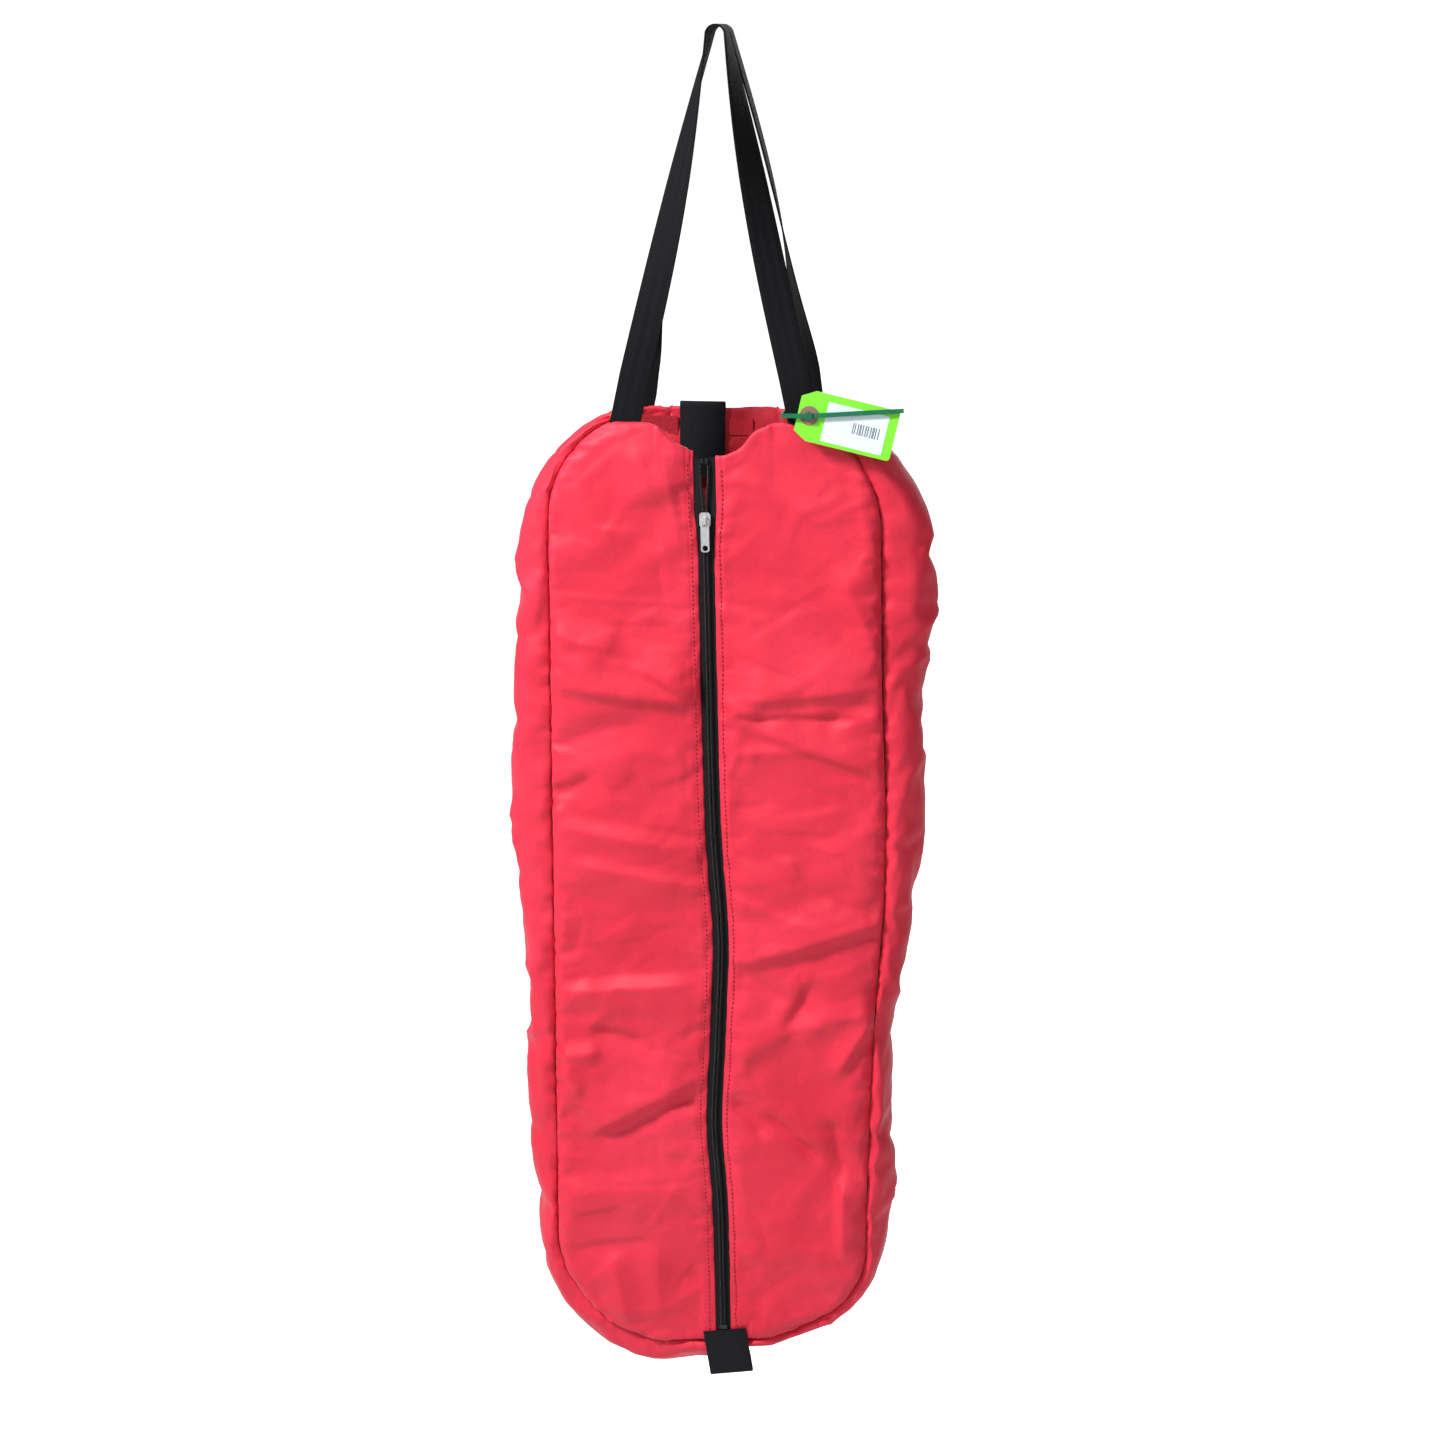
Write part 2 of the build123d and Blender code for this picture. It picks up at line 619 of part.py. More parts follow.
parts["tag_label"] = tag_label()
parts["tag_tie"] = tag_tie()

os.makedirs("parts", exist_ok=True)
for name, shape in parts.items():
    export_step(shape, f"parts/{name}.step")
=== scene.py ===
import math

import bpy
import numpy as np
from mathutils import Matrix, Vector, noise


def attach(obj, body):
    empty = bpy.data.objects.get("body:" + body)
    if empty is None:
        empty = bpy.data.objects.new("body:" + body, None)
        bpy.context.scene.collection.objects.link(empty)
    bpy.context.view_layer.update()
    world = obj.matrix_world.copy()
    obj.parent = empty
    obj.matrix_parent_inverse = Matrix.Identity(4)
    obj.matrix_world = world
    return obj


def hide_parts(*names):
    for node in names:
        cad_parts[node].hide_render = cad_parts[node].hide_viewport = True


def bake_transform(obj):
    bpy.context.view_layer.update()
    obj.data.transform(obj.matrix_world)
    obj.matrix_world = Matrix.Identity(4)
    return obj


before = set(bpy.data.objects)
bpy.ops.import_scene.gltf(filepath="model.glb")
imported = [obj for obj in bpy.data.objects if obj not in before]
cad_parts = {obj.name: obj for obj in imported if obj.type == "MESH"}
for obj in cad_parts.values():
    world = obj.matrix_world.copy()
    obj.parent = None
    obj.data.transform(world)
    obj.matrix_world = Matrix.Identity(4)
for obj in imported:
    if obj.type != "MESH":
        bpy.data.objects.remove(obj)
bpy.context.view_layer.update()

# A padded nylon tack bag that hangs by two webbing loops. Shapes are worked out in millimetres, in the
# CAD's frame, and written to Blender in metres. The front faces -Y.
MM = 0.001

# ---------------------------------------------------------------- the CAD's dimensions, in millimetres
HALF_WIDTH = 138.0
MOUTH_HALF = 86.0
MOUTH_Z = -313.0
BACK_RISE = 5.0
SHOULDER_DROP = 82.0
BOTTOM_Z = -1117.0
BOTTOM_RADIUS = 95.0
HALF_DEPTH = 33.0
WALL = 4.2
WEB_PLANE = 30.9
ZIP_TILT = math.radians(1.2)
ZIP_DIP = 28.0
ZIP_END_Z = -1105.0
TAPE_FACE = 32.4
WEB_WIDTH = 25.0
WEB_THICK = 1.5
LOOP_BASE_X = 73.0
HOOK_RADIUS = 7.0
LOOP_SPACING = 27.0
SEWN_LENGTH = 28.0
FRONT_STUB = 38.0
BACK_STUB = 12.0
FRONT_BOW = -2.0
BACK_BOW = 8.0
BACK_FLAT = 0.93
BROAD_WIDTH = 38.0
BROAD_THICK = 1.6
STRAP_X = -18.0
STRAP_FALL = 60.0
STRAP_RISE = 3.0
STRAP_FOLD = 1.9
TAB_X = 10.0
TAB_TOP_Z = -1106.0
TAB_LENGTH = 41.0
TAB_TURN = math.radians(9.0)

TAG_X = 79.0
TAG_Z = -303
TAG_SLOPE = math.radians(12.8)

ZIP_TOP_Z = MOUTH_Z - ZIP_DIP
ZIP_MID_Z = (ZIP_TOP_Z + ZIP_END_Z) / 2
SHOULDER_RUN = HALF_WIDTH - MOUTH_HALF
SHOULDER_RADIUS = (SHOULDER_RUN**2 + SHOULDER_DROP**2) / (2 * SHOULDER_RUN)
SHOULDER_X = HALF_WIDTH - SHOULDER_RADIUS
SHOULDER_Z = MOUTH_Z - SHOULDER_DROP
SHOULDER_TURN = math.atan2(SHOULDER_DROP, MOUTH_HALF - SHOULDER_X)
CORNER_X = HALF_WIDTH - BOTTOM_RADIUS
CORNER_Z = BOTTOM_Z + BOTTOM_RADIUS
SHOULDER_ARC = SHOULDER_RADIUS * SHOULDER_TURN
SIDE_RUN = SHOULDER_Z - CORNER_Z
CORNER_ARC = BOTTOM_RADIUS * math.pi / 2
HALF_SEAM = SHOULDER_ARC + SIDE_RUN + CORNER_ARC + CORNER_X

# ---------------------------------------------------------------- how the fabric lies, in millimetres
SEAM_SINK = 5.0  # how deep the seam line lies
SEAM_ROLL = 3.2  # over how far the fabric rolls into it
PUFF = 6.5  # how far the padding stands out on the front
BACK_PUFF = 5.0
PUFF_RUN = 24.0  # over how far the padding rises from a seam
ZIP_ROLL = 2.2  # how far the fabric rolls down beside the zip
CREASE_SCALE = 2.1  # times the heights in FRONT_CREASES
SEWN_MARGIN = 0.4  # how far inside its plane a wall may lie over a sewn end
MIDDLE_Z = -700.0
AWAY_WEIGHT = np.array([1, 1, 0.05])  # the long bag's ends count less in telling outside from inside


# ---------------------------------------------------------------- small helpers
def smooth(value, low, high):
    """0 below low, 1 above high, and a smooth rise between them."""
    share = np.clip((value - low) / (high - low), 0, 1)
    return share * share * (3 - 2 * share)


def fractal(x, z, size, seed, octaves=3):
    """Perlin noise of this feature size at arrays of points, from about -1 to 1."""
    flat = [
        noise.fractal((a / size, seed, b / size), 1.0, 2.0, octaves) for a, b in zip(x.ravel(), z.ravel())
    ]
    return np.array(flat).reshape(x.shape)


def add_mesh(name, points, faces, materials, face_material=None, uvs=None):
    """A smooth-shaded object from points in millimetres."""
    mesh = bpy.data.meshes.new(name)
    mesh.from_pydata((np.asarray(points) * MM).tolist(), [], [tuple(f) for f in faces])
    for material in materials:
        mesh.materials.append(material)
    if face_material is not None:
        mesh.polygons.foreach_set("material_index", np.asarray(face_material, np.int32))
    mesh.polygons.foreach_set("use_smooth", np.ones(len(mesh.polygons), bool))
    if uvs is not None:
        layer = mesh.uv_layers.new(name="cloth")
        corner = np.zeros(len(mesh.loops), np.int32)
        mesh.loops.foreach_get("vertex_index", corner)
        layer.data.foreach_set("uv", (np.asarray(uvs) * MM)[corner].astype(np.float32).ravel())
    mesh.validate()
    mesh.update()
    piece = bpy.data.objects.new(name, mesh)
    bpy.context.scene.collection.objects.link(piece)
    return piece


def grid_faces(rows, columns, start=0, closed=False):
    """Quads of a grid of points stored row by row. Closed joins the last column to the first."""
    last = columns if closed else columns - 1
    across = np.arange(last)
    beside = (across + 1) % columns
    base = start + np.arange(rows - 1)[:, None] * columns
    quads = np.stack([base + across, base + beside, base + columns + beside, base + columns + across], -1)
    return quads.reshape(-1, 4)


def grid_normals(grid):
    """Unit normals of a grid of points."""
    down = np.gradient(grid, axis=0)
    over = np.gradient(grid, axis=1)
    normal = np.cross(down, over)
    return normal / np.maximum(np.linalg.norm(normal, axis=-1, keepdims=True), 1e-9)


def outward_normals(grid):
    """Normals of a panel's grid that point away from the middle of the bag."""
    normal = grid_normals(grid)
    away = (grid - np.array([0, 0, MIDDLE_Z])) * AWAY_WEIGHT
    if (normal * away).sum() < 0:
        normal = -normal
    return normal


def padded_panel(name, grid, thick, edge_round, materials):
    """A closed padded sheet. edge_round is how far each of the top, right, bottom and left rims bulge."""
    rows, columns = grid.shape[:2]
    normal = outward_normals(grid)
    inner = grid - normal * thick
    top = [(0, c) for c in range(columns)]
    right = [(r, columns - 1) for r in range(1, rows)]
    bottom = [(rows - 1, c) for c in range(columns - 2, -1, -1)]
    left = [(r, 0) for r in range(rows - 2, 0, -1)]
    loop = np.array(top + right + bottom + left)
    bulge = np.concatenate([np.full(len(p), b) for p, b in zip((top, right, bottom, left), edge_round)])
    inside = np.clip(loop, 1, [rows - 2, columns - 2])
    edge = grid[loop[:, 0], loop[:, 1]]
    lining_edge = inner[loop[:, 0], loop[:, 1]]
    out = edge - grid[inside[:, 0], inside[:, 1]]
    out /= np.maximum(np.linalg.norm(out, axis=1, keepdims=True), 1e-9)
    middle = (edge + lining_edge) / 2
    rims = []
    for angle in (math.pi / 4, math.pi / 2, 3 * math.pi / 4):
        lift = out * (thick / 2 * math.sin(angle)) * bulge[:, None]
        rims.append(middle + (edge - middle) * math.cos(angle) + lift)
    count = rows * columns
    points = np.concatenate([grid.reshape(-1, 3), inner.reshape(-1, 3)] + rims)
    outer_faces = grid_faces(rows, columns)
    inner_faces = grid_faces(rows, columns, count)[:, ::-1]
    border = loop[:, 0] * columns + loop[:, 1]
    between = [2 * count + k * len(loop) + np.arange(len(loop)) for k in range(len(rims))]
    rings = [border] + between + [border + count]
    rim_faces = []
    for near, far in zip(rings[:-1], rings[1:]):
        rim_faces.append(np.stack([near, far, np.roll(far, -1), np.roll(near, -1)], -1))
    faces = np.concatenate([outer_faces, inner_faces] + rim_faces)
    kind = np.zeros(len(faces), int)
    kind[len(outer_faces) : len(outer_faces) + len(inner_faces)] = 1
    piece = add_mesh(name, points, faces.tolist(), materials, kind)
    facing = grid_normals(grid)[rows // 2, columns // 2] @ normal[rows // 2, columns // 2]
    if facing > 0:
        piece.data.flip_normals()
    return piece


def arc_lengths(line):
    """Distance along a line of points, from its first point."""
    return np.concatenate([[0], np.cumsum(np.linalg.norm(np.diff(line, axis=0), axis=1))])


def ribbon(name, centre, across, width, thick, material):
    """A strip of webbing with round edges, from centre points and directions across it."""
    centre = np.asarray(centre, float)
    across = np.asarray(across, float)
    along = np.gradient(centre, axis=0)
    along /= np.linalg.norm(along, axis=1, keepdims=True)
    across -= along * (across * along).sum(1, keepdims=True)
    across /= np.linalg.norm(across, axis=1, keepdims=True)
    face = np.cross(along, across)
    half = thick / 2
    flat_half = width / 2 - half
    section = []
    for sign in (1, -1):
        for angle in np.radians((90, 45, 0, -45, -90)):
            section.append((sign * (flat_half + half * math.cos(angle)), sign * half * math.sin(angle)))
        for share in (0.5, 0, -0.5):
            section.append((sign * share * flat_half, -sign * half))
    section = np.array(section)
    points = centre[:, None] + across[:, None] * section[None, :, :1] + face[:, None] * section[None, :, 1:]
    distance = arc_lengths(centre)
    uvs = np.stack(np.broadcast_arrays(distance[:, None], section[None, :, 0]), -1).reshape(-1, 2)
    stations, around = len(centre), len(section)
    faces = grid_faces(stations, around, closed=True).tolist()
    faces.append(list(range(around)))
    faces.append(list(range((stations - 1) * around, stations * around))[::-1])
    return add_mesh(name, points.reshape(-1, 3), faces, [material], uvs=uvs)


def tube(path, radius, sides=6):
    """Points and faces of a round thread along a path, closed at its ends."""
    path = np.asarray(path, float)
    along = np.gradient(path, axis=0)
    along /= np.linalg.norm(along, axis=1, keepdims=True)
    side = np.cross(along, [0.31, 0.93, 0.17])
    side /= np.linalg.norm(side, axis=1, keepdims=True)
    other = np.cross(along, side)
    angle = np.arange(sides) * 2 * math.pi / sides
    ring = side[:, None] * np.cos(angle)[None, :, None] + other[:, None] * np.sin(angle)[None, :, None]
    points = (path[:, None] + ring * radius).reshape(-1, 3)
    faces = grid_faces(len(path), sides, closed=True).tolist()
    faces.append(list(range(sides))[::-1])
    faces.append(list(range((len(path) - 1) * sides, len(path) * sides)))
    return points, faces


def joined(name, shapes, material):
    """One object from several (points, faces) shapes."""
    points, faces, start = [], [], 0
    for shape_points, shape_faces in shapes:
        points.append(np.asarray(shape_points))
        faces += [[index + start for index in face] for face in shape_faces]
        start += len(shape_points)
    return add_mesh(name, np.concatenate(points), faces, [material])


# ---------------------------------------------------------------- materials
def linear(*screen):
    """A colour given as it looks on a screen, from 0 to 255, as Blender wants it."""
    return tuple(((c / 255 + 0.055) / 1.055) ** 2.4 if c > 10 else c / 3294.6 for c in screen) + (1,)


class Nodes:
    """A short way to build a node material."""

    def __init__(self, name):
        self.material = bpy.data.materials.new(name)
        self.material.use_nodes = True
        self.tree = self.material.node_tree
        self.shader = self.tree.nodes["Principled BSDF"]
        self.where = self.add("ShaderNodeTexCoord").outputs["Object"]

    def add(self, kind, **inputs):
        node = self.tree.nodes.new(kind)
        for key, value in inputs.items():
            self.feed(node.inputs[key], value)
        return node

    def feed(self, socket, value):
        if isinstance(value, bpy.types.NodeSocket):
            self.tree.links.new(value, socket)
        else:
            socket.default_value = value

    def math(self, operation, first, second=0.0, third=0.0):
        node = self.tree.nodes.new("ShaderNodeMath")
        node.operation = operation
        for socket, value in zip(node.inputs, (first, second, third)):
            self.feed(socket, value)
        return node.outputs[0]

    def wave(self, value, pitch):
        return self.math("SINE", self.math("MULTIPLY", value, 2 * math.pi / pitch))

    def noise(self, scale, detail=3.0):
        node = self.add("ShaderNodeTexNoise", Scale=scale, Detail=detail, Vector=self.where)
        return node.outputs["Fac"]

    def mix(self, share, first, second):
        node = self.tree.nodes.new("ShaderNodeMix")
        node.data_type = "RGBA"
        self.feed(node.inputs[0], share)
        self.feed(node.inputs[6], first)
        self.feed(node.inputs[7], second)
        return node.outputs[2]

    def bump(self, height, strength, distance):
        node = self.add("ShaderNodeBump", Height=height, Strength=strength, Distance=distance)
        self.feed(self.shader.inputs["Normal"], node.outputs[0])

    def set(self, **inputs):
        for key, value in inputs.items():
            self.feed(self.shader.inputs[key.replace("_", " ")], value)
        return self.material


def threads(n, pitch):
    """Height of a plain weave with this thread pitch in metres."""
    split = n.add("ShaderNodeSeparateXYZ", Vector=n.where)
    return n.math("MULTIPLY", *(n.wave(split.outputs[axis], pitch) for axis in ("X", "Z")))


def nylon(name, light, dark, grain=0.5):
    """Thin woven nylon with a soft satin gloss and fine creases."""
    n = Nodes(name)
    patch = n.noise(9.0, 4.0)
    fleck = n.noise(420.0, 2.0)
    tone = n.math("ADD", n.math("MULTIPLY", patch, 0.75), n.math("MULTIPLY", fleck, 0.25))
    share = n.math("MULTIPLY_ADD", tone, 2.4, -0.7)
    share.node.use_clamp = True
    colour = n.mix(share, linear(*dark), linear(*light))
    weave = threads(n, 0.0009)
    folds = n.math("ABSOLUTE", n.math("SUBTRACT", n.noise(26.0, 2.0), 0.5))
    crumple = n.math("ADD", n.math("MULTIPLY", folds, 2.2), n.math("MULTIPLY", n.noise(90.0, 4.0), 0.5))
    height = n.math("ADD", n.math("MULTIPLY", weave, 0.05 * grain), n.math("MULTIPLY", crumple, grain))
    n.bump(height, 0.6, 0.0022)
    rough = n.math("MULTIPLY_ADD", n.noise(30.0, 3.0), 0.14, 0.46)
    n.set(Base_Color=colour, Roughness=rough, Specular_IOR_Level=0.32)
    return n.set(Sheen_Weight=0.14, Sheen_Roughness=0.35)


def webbing(name, column, pitch, light=(19, 20, 24), dark=(4, 4, 6), depth=0.0005):
    """Herringbone webbing. UVs hold the distance along and across the strip, in metres."""
    n = Nodes(name)
    uv = n.add("ShaderNodeUVMap")
    uv.uv_map = "cloth"
    split = n.add("ShaderNodeSeparateXYZ", Vector=uv.outputs[0])
    along, across = split.outputs["X"], split.outputs["Y"]
    zigzag = n.math("PINGPONG", n.math("ADD", across, 1.0), column)
    zigzag_along = n.math("ADD", along, zigzag)
    twill = n.math("MULTIPLY_ADD", n.wave(zigzag_along, pitch), 0.5, 0.5)
    warp = n.math("MULTIPLY_ADD", n.wave(across, 0.0008), 0.5, 0.5)
    height = n.math("ADD", n.math("MULTIPLY", twill, 0.7), n.math("MULTIPLY", warp, 0.3))
    fuzz = n.noise(900.0, 2.0)
    uneven = n.math("MULTIPLY_ADD", fuzz, 0.8, 0.4)
    # colour follows the weave's height: the weave's hollows are darker as painted shade, scaled by the
    # random fuzz tone
    share = n.math("MULTIPLY", n.math("MULTIPLY_ADD", height, 0.7, 0.1), uneven)
    colour = n.mix(share, linear(*dark), linear(*light))
    n.bump(height, 0.6, depth)
    n.set(Base_Color=colour, Roughness=0.7, Sheen_Weight=0.02, Sheen_Roughness=0.5, Specular_IOR_Level=0.14)
    return n.material


def tape_cloth():
    """Knitted zip tape: fine ribs along the zip."""
    n = Nodes("zip_tape_black")
    split = n.add("ShaderNodeSeparateXYZ", Vector=n.where)
    ribs = n.wave(split.outputs["X"], 0.0011)
    cross = n.wave(split.outputs["Z"], 0.0009)
    height = n.math("MULTIPLY_ADD", ribs, 0.7, n.math("MULTIPLY", cross, 0.3))
    colour = n.mix(n.noise(500.0), linear(6, 7, 9), linear(24, 25, 30))
    n.bump(height, 0.5, 0.0003)
    n.set(Base_Color=colour, Roughness=0.75, Sheen_Weight=0.05, Sheen_Roughness=0.5, Specular_IOR_Level=0.22)
    return n.material


def plastic(name, light, dark, rough, spread, scale=60.0, **more):
    """Moulded plastic, thread or card with a little uneven colour and gloss."""
    n = Nodes(name)
    colour = n.mix(n.noise(scale), linear(*dark), linear(*light))
    gloss = n.math("MULTIPLY_ADD", n.noise(scale * 4), spread, rough)
    n.bump(n.noise(scale * 12, 4.0), 0.15, 0.0002)
    n.set(Base_Color=colour, Roughness=gloss, **more)
    return n.material


def label_paper():
    """A paper label with a block of generic bars and no lettering."""
    n = Nodes("label_paper")
    split = n.add("ShaderNodeSeparateXYZ", Vector=n.where)
    right = n.math("SUBTRACT", split.outputs["X"], TAG_X * MM)
    up = n.math("SUBTRACT", split.outputs["Z"], TAG_Z * MM)
    lean, rise = math.cos(TAG_SLOPE), math.sin(TAG_SLOPE)
    along = n.math("SUBTRACT", n.math("MULTIPLY", right, lean), n.math("MULTIPLY", up, rise))
    over = n.math("ADD", n.math("MULTIPLY", right, rise), n.math("MULTIPLY", up, lean))
    waves = [n.wave(along, pitch) for pitch in (0.0021, 0.0013)]
    ink = n.math("GREATER_THAN", n.math("ADD", *waves), 0.1)
    for value, low, high in ((along, 0.036, 0.058), (over, -0.006, 0.003)):
        inside = n.math("MULTIPLY", n.math("GREATER_THAN", value, low), n.math("LESS_THAN", value, high))
        ink = n.math("MULTIPLY", ink, inside)
    colour = n.mix(ink, linear(224, 238, 247), linear(60, 64, 74))
    n.bump(n.noise(900.0, 3.0), 0.1, 0.0001)
    n.set(Base_Color=colour, Roughness=n.math("MULTIPLY_ADD", n.noise(200.0), 0.1, 0.45))
    return n.material


def metal():
    """Plated zinc, a little worn."""
    n = Nodes("slider_silver")
    worn = n.noise(140.0, 2.0)
    colour = n.mix(worn, linear(206, 207, 211), linear(240, 241, 243))
    n.bump(n.noise(600.0, 2.0), 0.05, 0.0001)
    n.set(Base_Color=colour, Roughness=n.math("MULTIPLY_ADD", worn, 0.25, 0.16), Metallic=0.6)
    return n.material


def fleece():
    """The fuzzy half of a hook-and-loop patch."""
    n = Nodes("loop_fuzz")
    fuzz = n.noise(1300.0, 6.0)
    # colour follows the same noise as the pile's bump: darker where the pile lies low, painted shade in its
    # hollows
    colour = n.mix(fuzz, linear(120, 12, 26), linear(214, 36, 54))
    n.bump(fuzz, 1.0, 0.0012)
    n.set(Base_Color=colour, Roughness=0.95, Sheen_Weight=0.12, Sheen_Roughness=0.6, Specular_IOR_Level=0.2)
    return n.material


RED = nylon("nylon_red", (230, 50, 75), (212, 34, 58))
LINING = nylon("lining_red", (226, 44, 64), (196, 28, 48), grain=0.8)
TOPSTITCH = plastic("thread_red", (172, 12, 42), (136, 7, 32), 0.7, 0.1, 900.0)
BINDING = nylon("binding_red", (196, 30, 50), (160, 18, 38), grain=0.8)
WEBBING = webbing("webbing_black", 0.0042, 0.0018)
BROAD = webbing("webbing_broad", 0.0054, 0.0024, (40, 41, 47))
TAPE = tape_cloth()
COIL = plastic("coil_black", (26, 27, 32), (8, 9, 11), 0.32, 0.15, 300.0)
METAL = metal()
FUZZ = fleece()
CARD = plastic("card_green", (132, 238, 52), (122, 230, 44), 0.5, 0.15, 40.0)
LABEL = label_paper()
FIBRE = plastic("eyelet_fibre", (160, 128, 110), (120, 92, 78), 0.7, 0.15, 220.0)
TIE = plastic("tie_green", (24, 124, 84), (12, 92, 62), 0.32, 0.12, 120.0)


# ---------------------------------------------------------------- the seam line
def seam_point(distance):
    """X, Z and the outward direction on the right half of the seam, this far from the mouth's corner."""
    s = np.asarray(distance, float)
    upper = SHOULDER_TURN - np.clip(s, 0, SHOULDER_ARC) / SHOULDER_RADIUS
    straight = np.clip(s - SHOULDER_ARC, 0, SIDE_RUN)
    lower = np.clip(s - SHOULDER_ARC - SIDE_RUN, 0, CORNER_ARC) / BOTTOM_RADIUS
    flat = np.clip(s - SHOULDER_ARC - SIDE_RUN - CORNER_ARC, 0, None)
    x = SHOULDER_X + SHOULDER_RADIUS * np.cos(upper) - BOTTOM_RADIUS * (1 - np.cos(lower)) - flat
    z = SHOULDER_Z + SHOULDER_RADIUS * np.sin(upper) - straight - BOTTOM_RADIUS * np.sin(lower)
    turn = upper - lower
    return x, z, np.cos(turn), np.sin(turn)


def seam_distance(x, z):
    """How far inside the seam line a point of the front or back is."""
    wide = np.abs(x)
    side = HALF_WIDTH - wide
    at_shoulder = (z > SHOULDER_Z) & (wide > SHOULDER_X)
    at_corner = (z < CORNER_Z) & (wide > CORNER_X)
    shoulder = SHOULDER_RADIUS - np.hypot(wide - SHOULDER_X, z - SHOULDER_Z)
    corner = BOTTOM_RADIUS - np.hypot(wide - CORNER_X, z - CORNER_Z)
    plain = np.minimum(side, z - BOTTOM_Z)
    return np.maximum(np.where(at_shoulder, shoulder, np.where(at_corner, corner, plain)), 0)


# height, and how far the right seam has moved outwards there as the empty bag's side folds in or fills out
RIGHT_DRIFT = [
    (-313, -4),
    (-350, -4),
    (-396, -2),
    (-537, 1),
    (-623, 5),
    (-711, 5),
    (-798, -1),
    (-900, -5),
    (-1006, -7),
    (-1145, -5),
]
TABLE_SOFTENING = 18.0


def read_table(z, table):
    """A value at each height, smoothly joined from (height, value) rows that go downwards."""
    heights = np.array([row[0] for row in table][::-1], float)
    values = np.array([row[1] for row in table][::-1], float)
    below, here, above = (np.interp(z + step * TABLE_SOFTENING, heights, values) for step in (-1, 0, 1))
    return (below + 2 * here + above) / 4


def hump(value, middle, width):
    """1 at the middle, falling smoothly to 0 on both sides."""
    return np.exp(-(((value - middle) / width) ** 2))


def drift(grid):
    """Moves a panel's points so that its outline follows how the empty bag hangs."""
    x, y, z = np.moveaxis(grid, -1, 0)
    low = smooth(-z, 1000, 1100)
    new_x = x + read_table(z, RIGHT_DRIFT) * smooth(x, 10, 138)
    lift = 10 * hump(x, 88, 42) - 5 * hump(x, -62, 36) - 2 * hump(x, 0, 30)
    return np.stack([new_x, y, z + lift * low], -1)


# ---------------------------------------------------------------- the zip's line
def zip_wave(z):
    """The sewn zip wanders a little from its straight line, but not where the slider stops."""
    return 5 * hump(z, -750, 70) - 4 * hump(z, -915, 50)


def zip_x(z):
    return (ZIP_MID_Z - z) * math.tan(ZIP_TILT) + zip_wave(z)


def shell_edge(z):
    """Centre of the zip to the folded edge of the fabric, wider where the zip is open."""
    return 7.0 + 2.6 * smooth(z, -415, -380)


# ---------------------------------------------------------------- creases
def crease(x, z, start, end, height, above, below, fade=0.25):
    """A straight fold from start to end, in X and Z. It slopes away over these widths on its two sides."""
    x0, z0 = start
    x1, z1 = end
    if x1 < x0:
        x0, z0, x1, z1 = x1, z1, x0, z0
    length = math.hypot(x1 - x0, z1 - z0)
    ux, uz = (x1 - x0) / length, (z1 - z0) / length
    along = ((x - x0) * ux + (z - z0) * uz) / length
    off = (z - z0) * ux - (x - x0) * uz
    off = off + 1.6 * np.sin(along * 5.0 + x0) * np.clip(along * (1 - along), 0, 1)
    width = np.where(off > 0, above, below)
    profile = np.maximum(1 - np.sqrt(off**2 + 0.4) / (2.2 * width), 0) ** 1.3
    ends = smooth(along, -0.08, fade) * (1 - smooth(along, 1 - fade, 1.08))
    return height * profile * ends


FRONT_CREASES = [
    # left half, from the top
    ((-65, -325), (-48, -378), 2.2, 8, 12),
    ((-56, -330), (-30, -372), 1.6, 6, 10),
    ((-40, -338), (-26, -420), 1.4, 7, 9),
    ((-133, -458), (-12, -461), 0.5, 2, 2),
    ((-138, -491), (-78, -502), 1.6, 10, 4),
    ((-67, -513), (-9, -542), 1.8, 12, 3),
    ((-80, -500), (-30, -540), -1.0, 6, 6),
    ((-138, -531), (-13, -546), 3.0, 26, 5),
    ((-136, -584), (-49, -558), -1.4, 8, 12),
    ((-139, -632), (-97, -609), -2.2, 5, 12),
    ((-135, -654), (-9, -672), 2.2, 6, 16),
    ((-133, -683), (-9, -703), 2.0, 5, 14),
    ((-127, -748), (-69, -783), -1.6, 10, 8),
    ((-133, -800), (-9, -788), 3.2, 5, 20),
    ((-105, -833), (-56, -845), -2.2, 4, 8),
    ((-134, -862), (-96, -852), 2.4, 6, 6),
    ((-129, -867), (-113, -893), 2.0, 5, 6),
    ((-108, -928), (-9, -871), 3.6, 18, 6),
    ((-104, -934), (-12, -880), -1.6, 5, 10),
    ((-47, -898), (-9, -896), -1.4, 3, 5),
    ((-136, -985), (-9, -972), 1.5, 9, 14),
    ((-124, -1037), (-52, -1025), -1.2, 3, 6),
    ((-88, -1040), (-76, -1098), 1.8, 9, 9),
    ((-52, -1030), (-46, -1090), 1.6, 8, 8),
    # right half, from the top
    ((62, -388), (111, -368), 1.2, 10, 10),
    ((105, -427), (138, -506), 2.0, 14, 10),
    ((13, -542), (140, -527), 2.8, 24, 5),
    ((13, -557), (124, -555), -2.6, 3, 12),
    ((13, -557), (141, -603), 2.6, 16, 4),
    ((95, -565), (140, -549), 1.4, 5, 6),
    ((14, -586), (78, -584), 0.9, 3, 4),
    ((17, -698), (74, -703), 1.2, 12, 5),
    ((74, -703), (144, -724), -1.6, 8, 6),
    ((19, -769), (144, -724), 3.4, 16, 6),
    ((17, -773), (64, -804), -2.2, 6, 10),
    ((86, -780), (63, -826), -2.4, 4, 10),
    ((66, -828), (142, -804), 2.0, 8, 8),
    ((140, -806), (106, -867), 2.8, 8, 5),
    ((17, -857), (70, -826), 1.4, 10, 7),
    ((15, -891), (47, -925), -2.4, 7, 4),
    ((43, -903), (100, -947), -2.6, 6, 4),
    ((105, -905), (117, -957), -2.6, 5, 7),
    ((117, -957), (118, -1030), 2.6, 8, 4),
    ((20, -1010), (90, -990), 1.0, 14, 14),
]


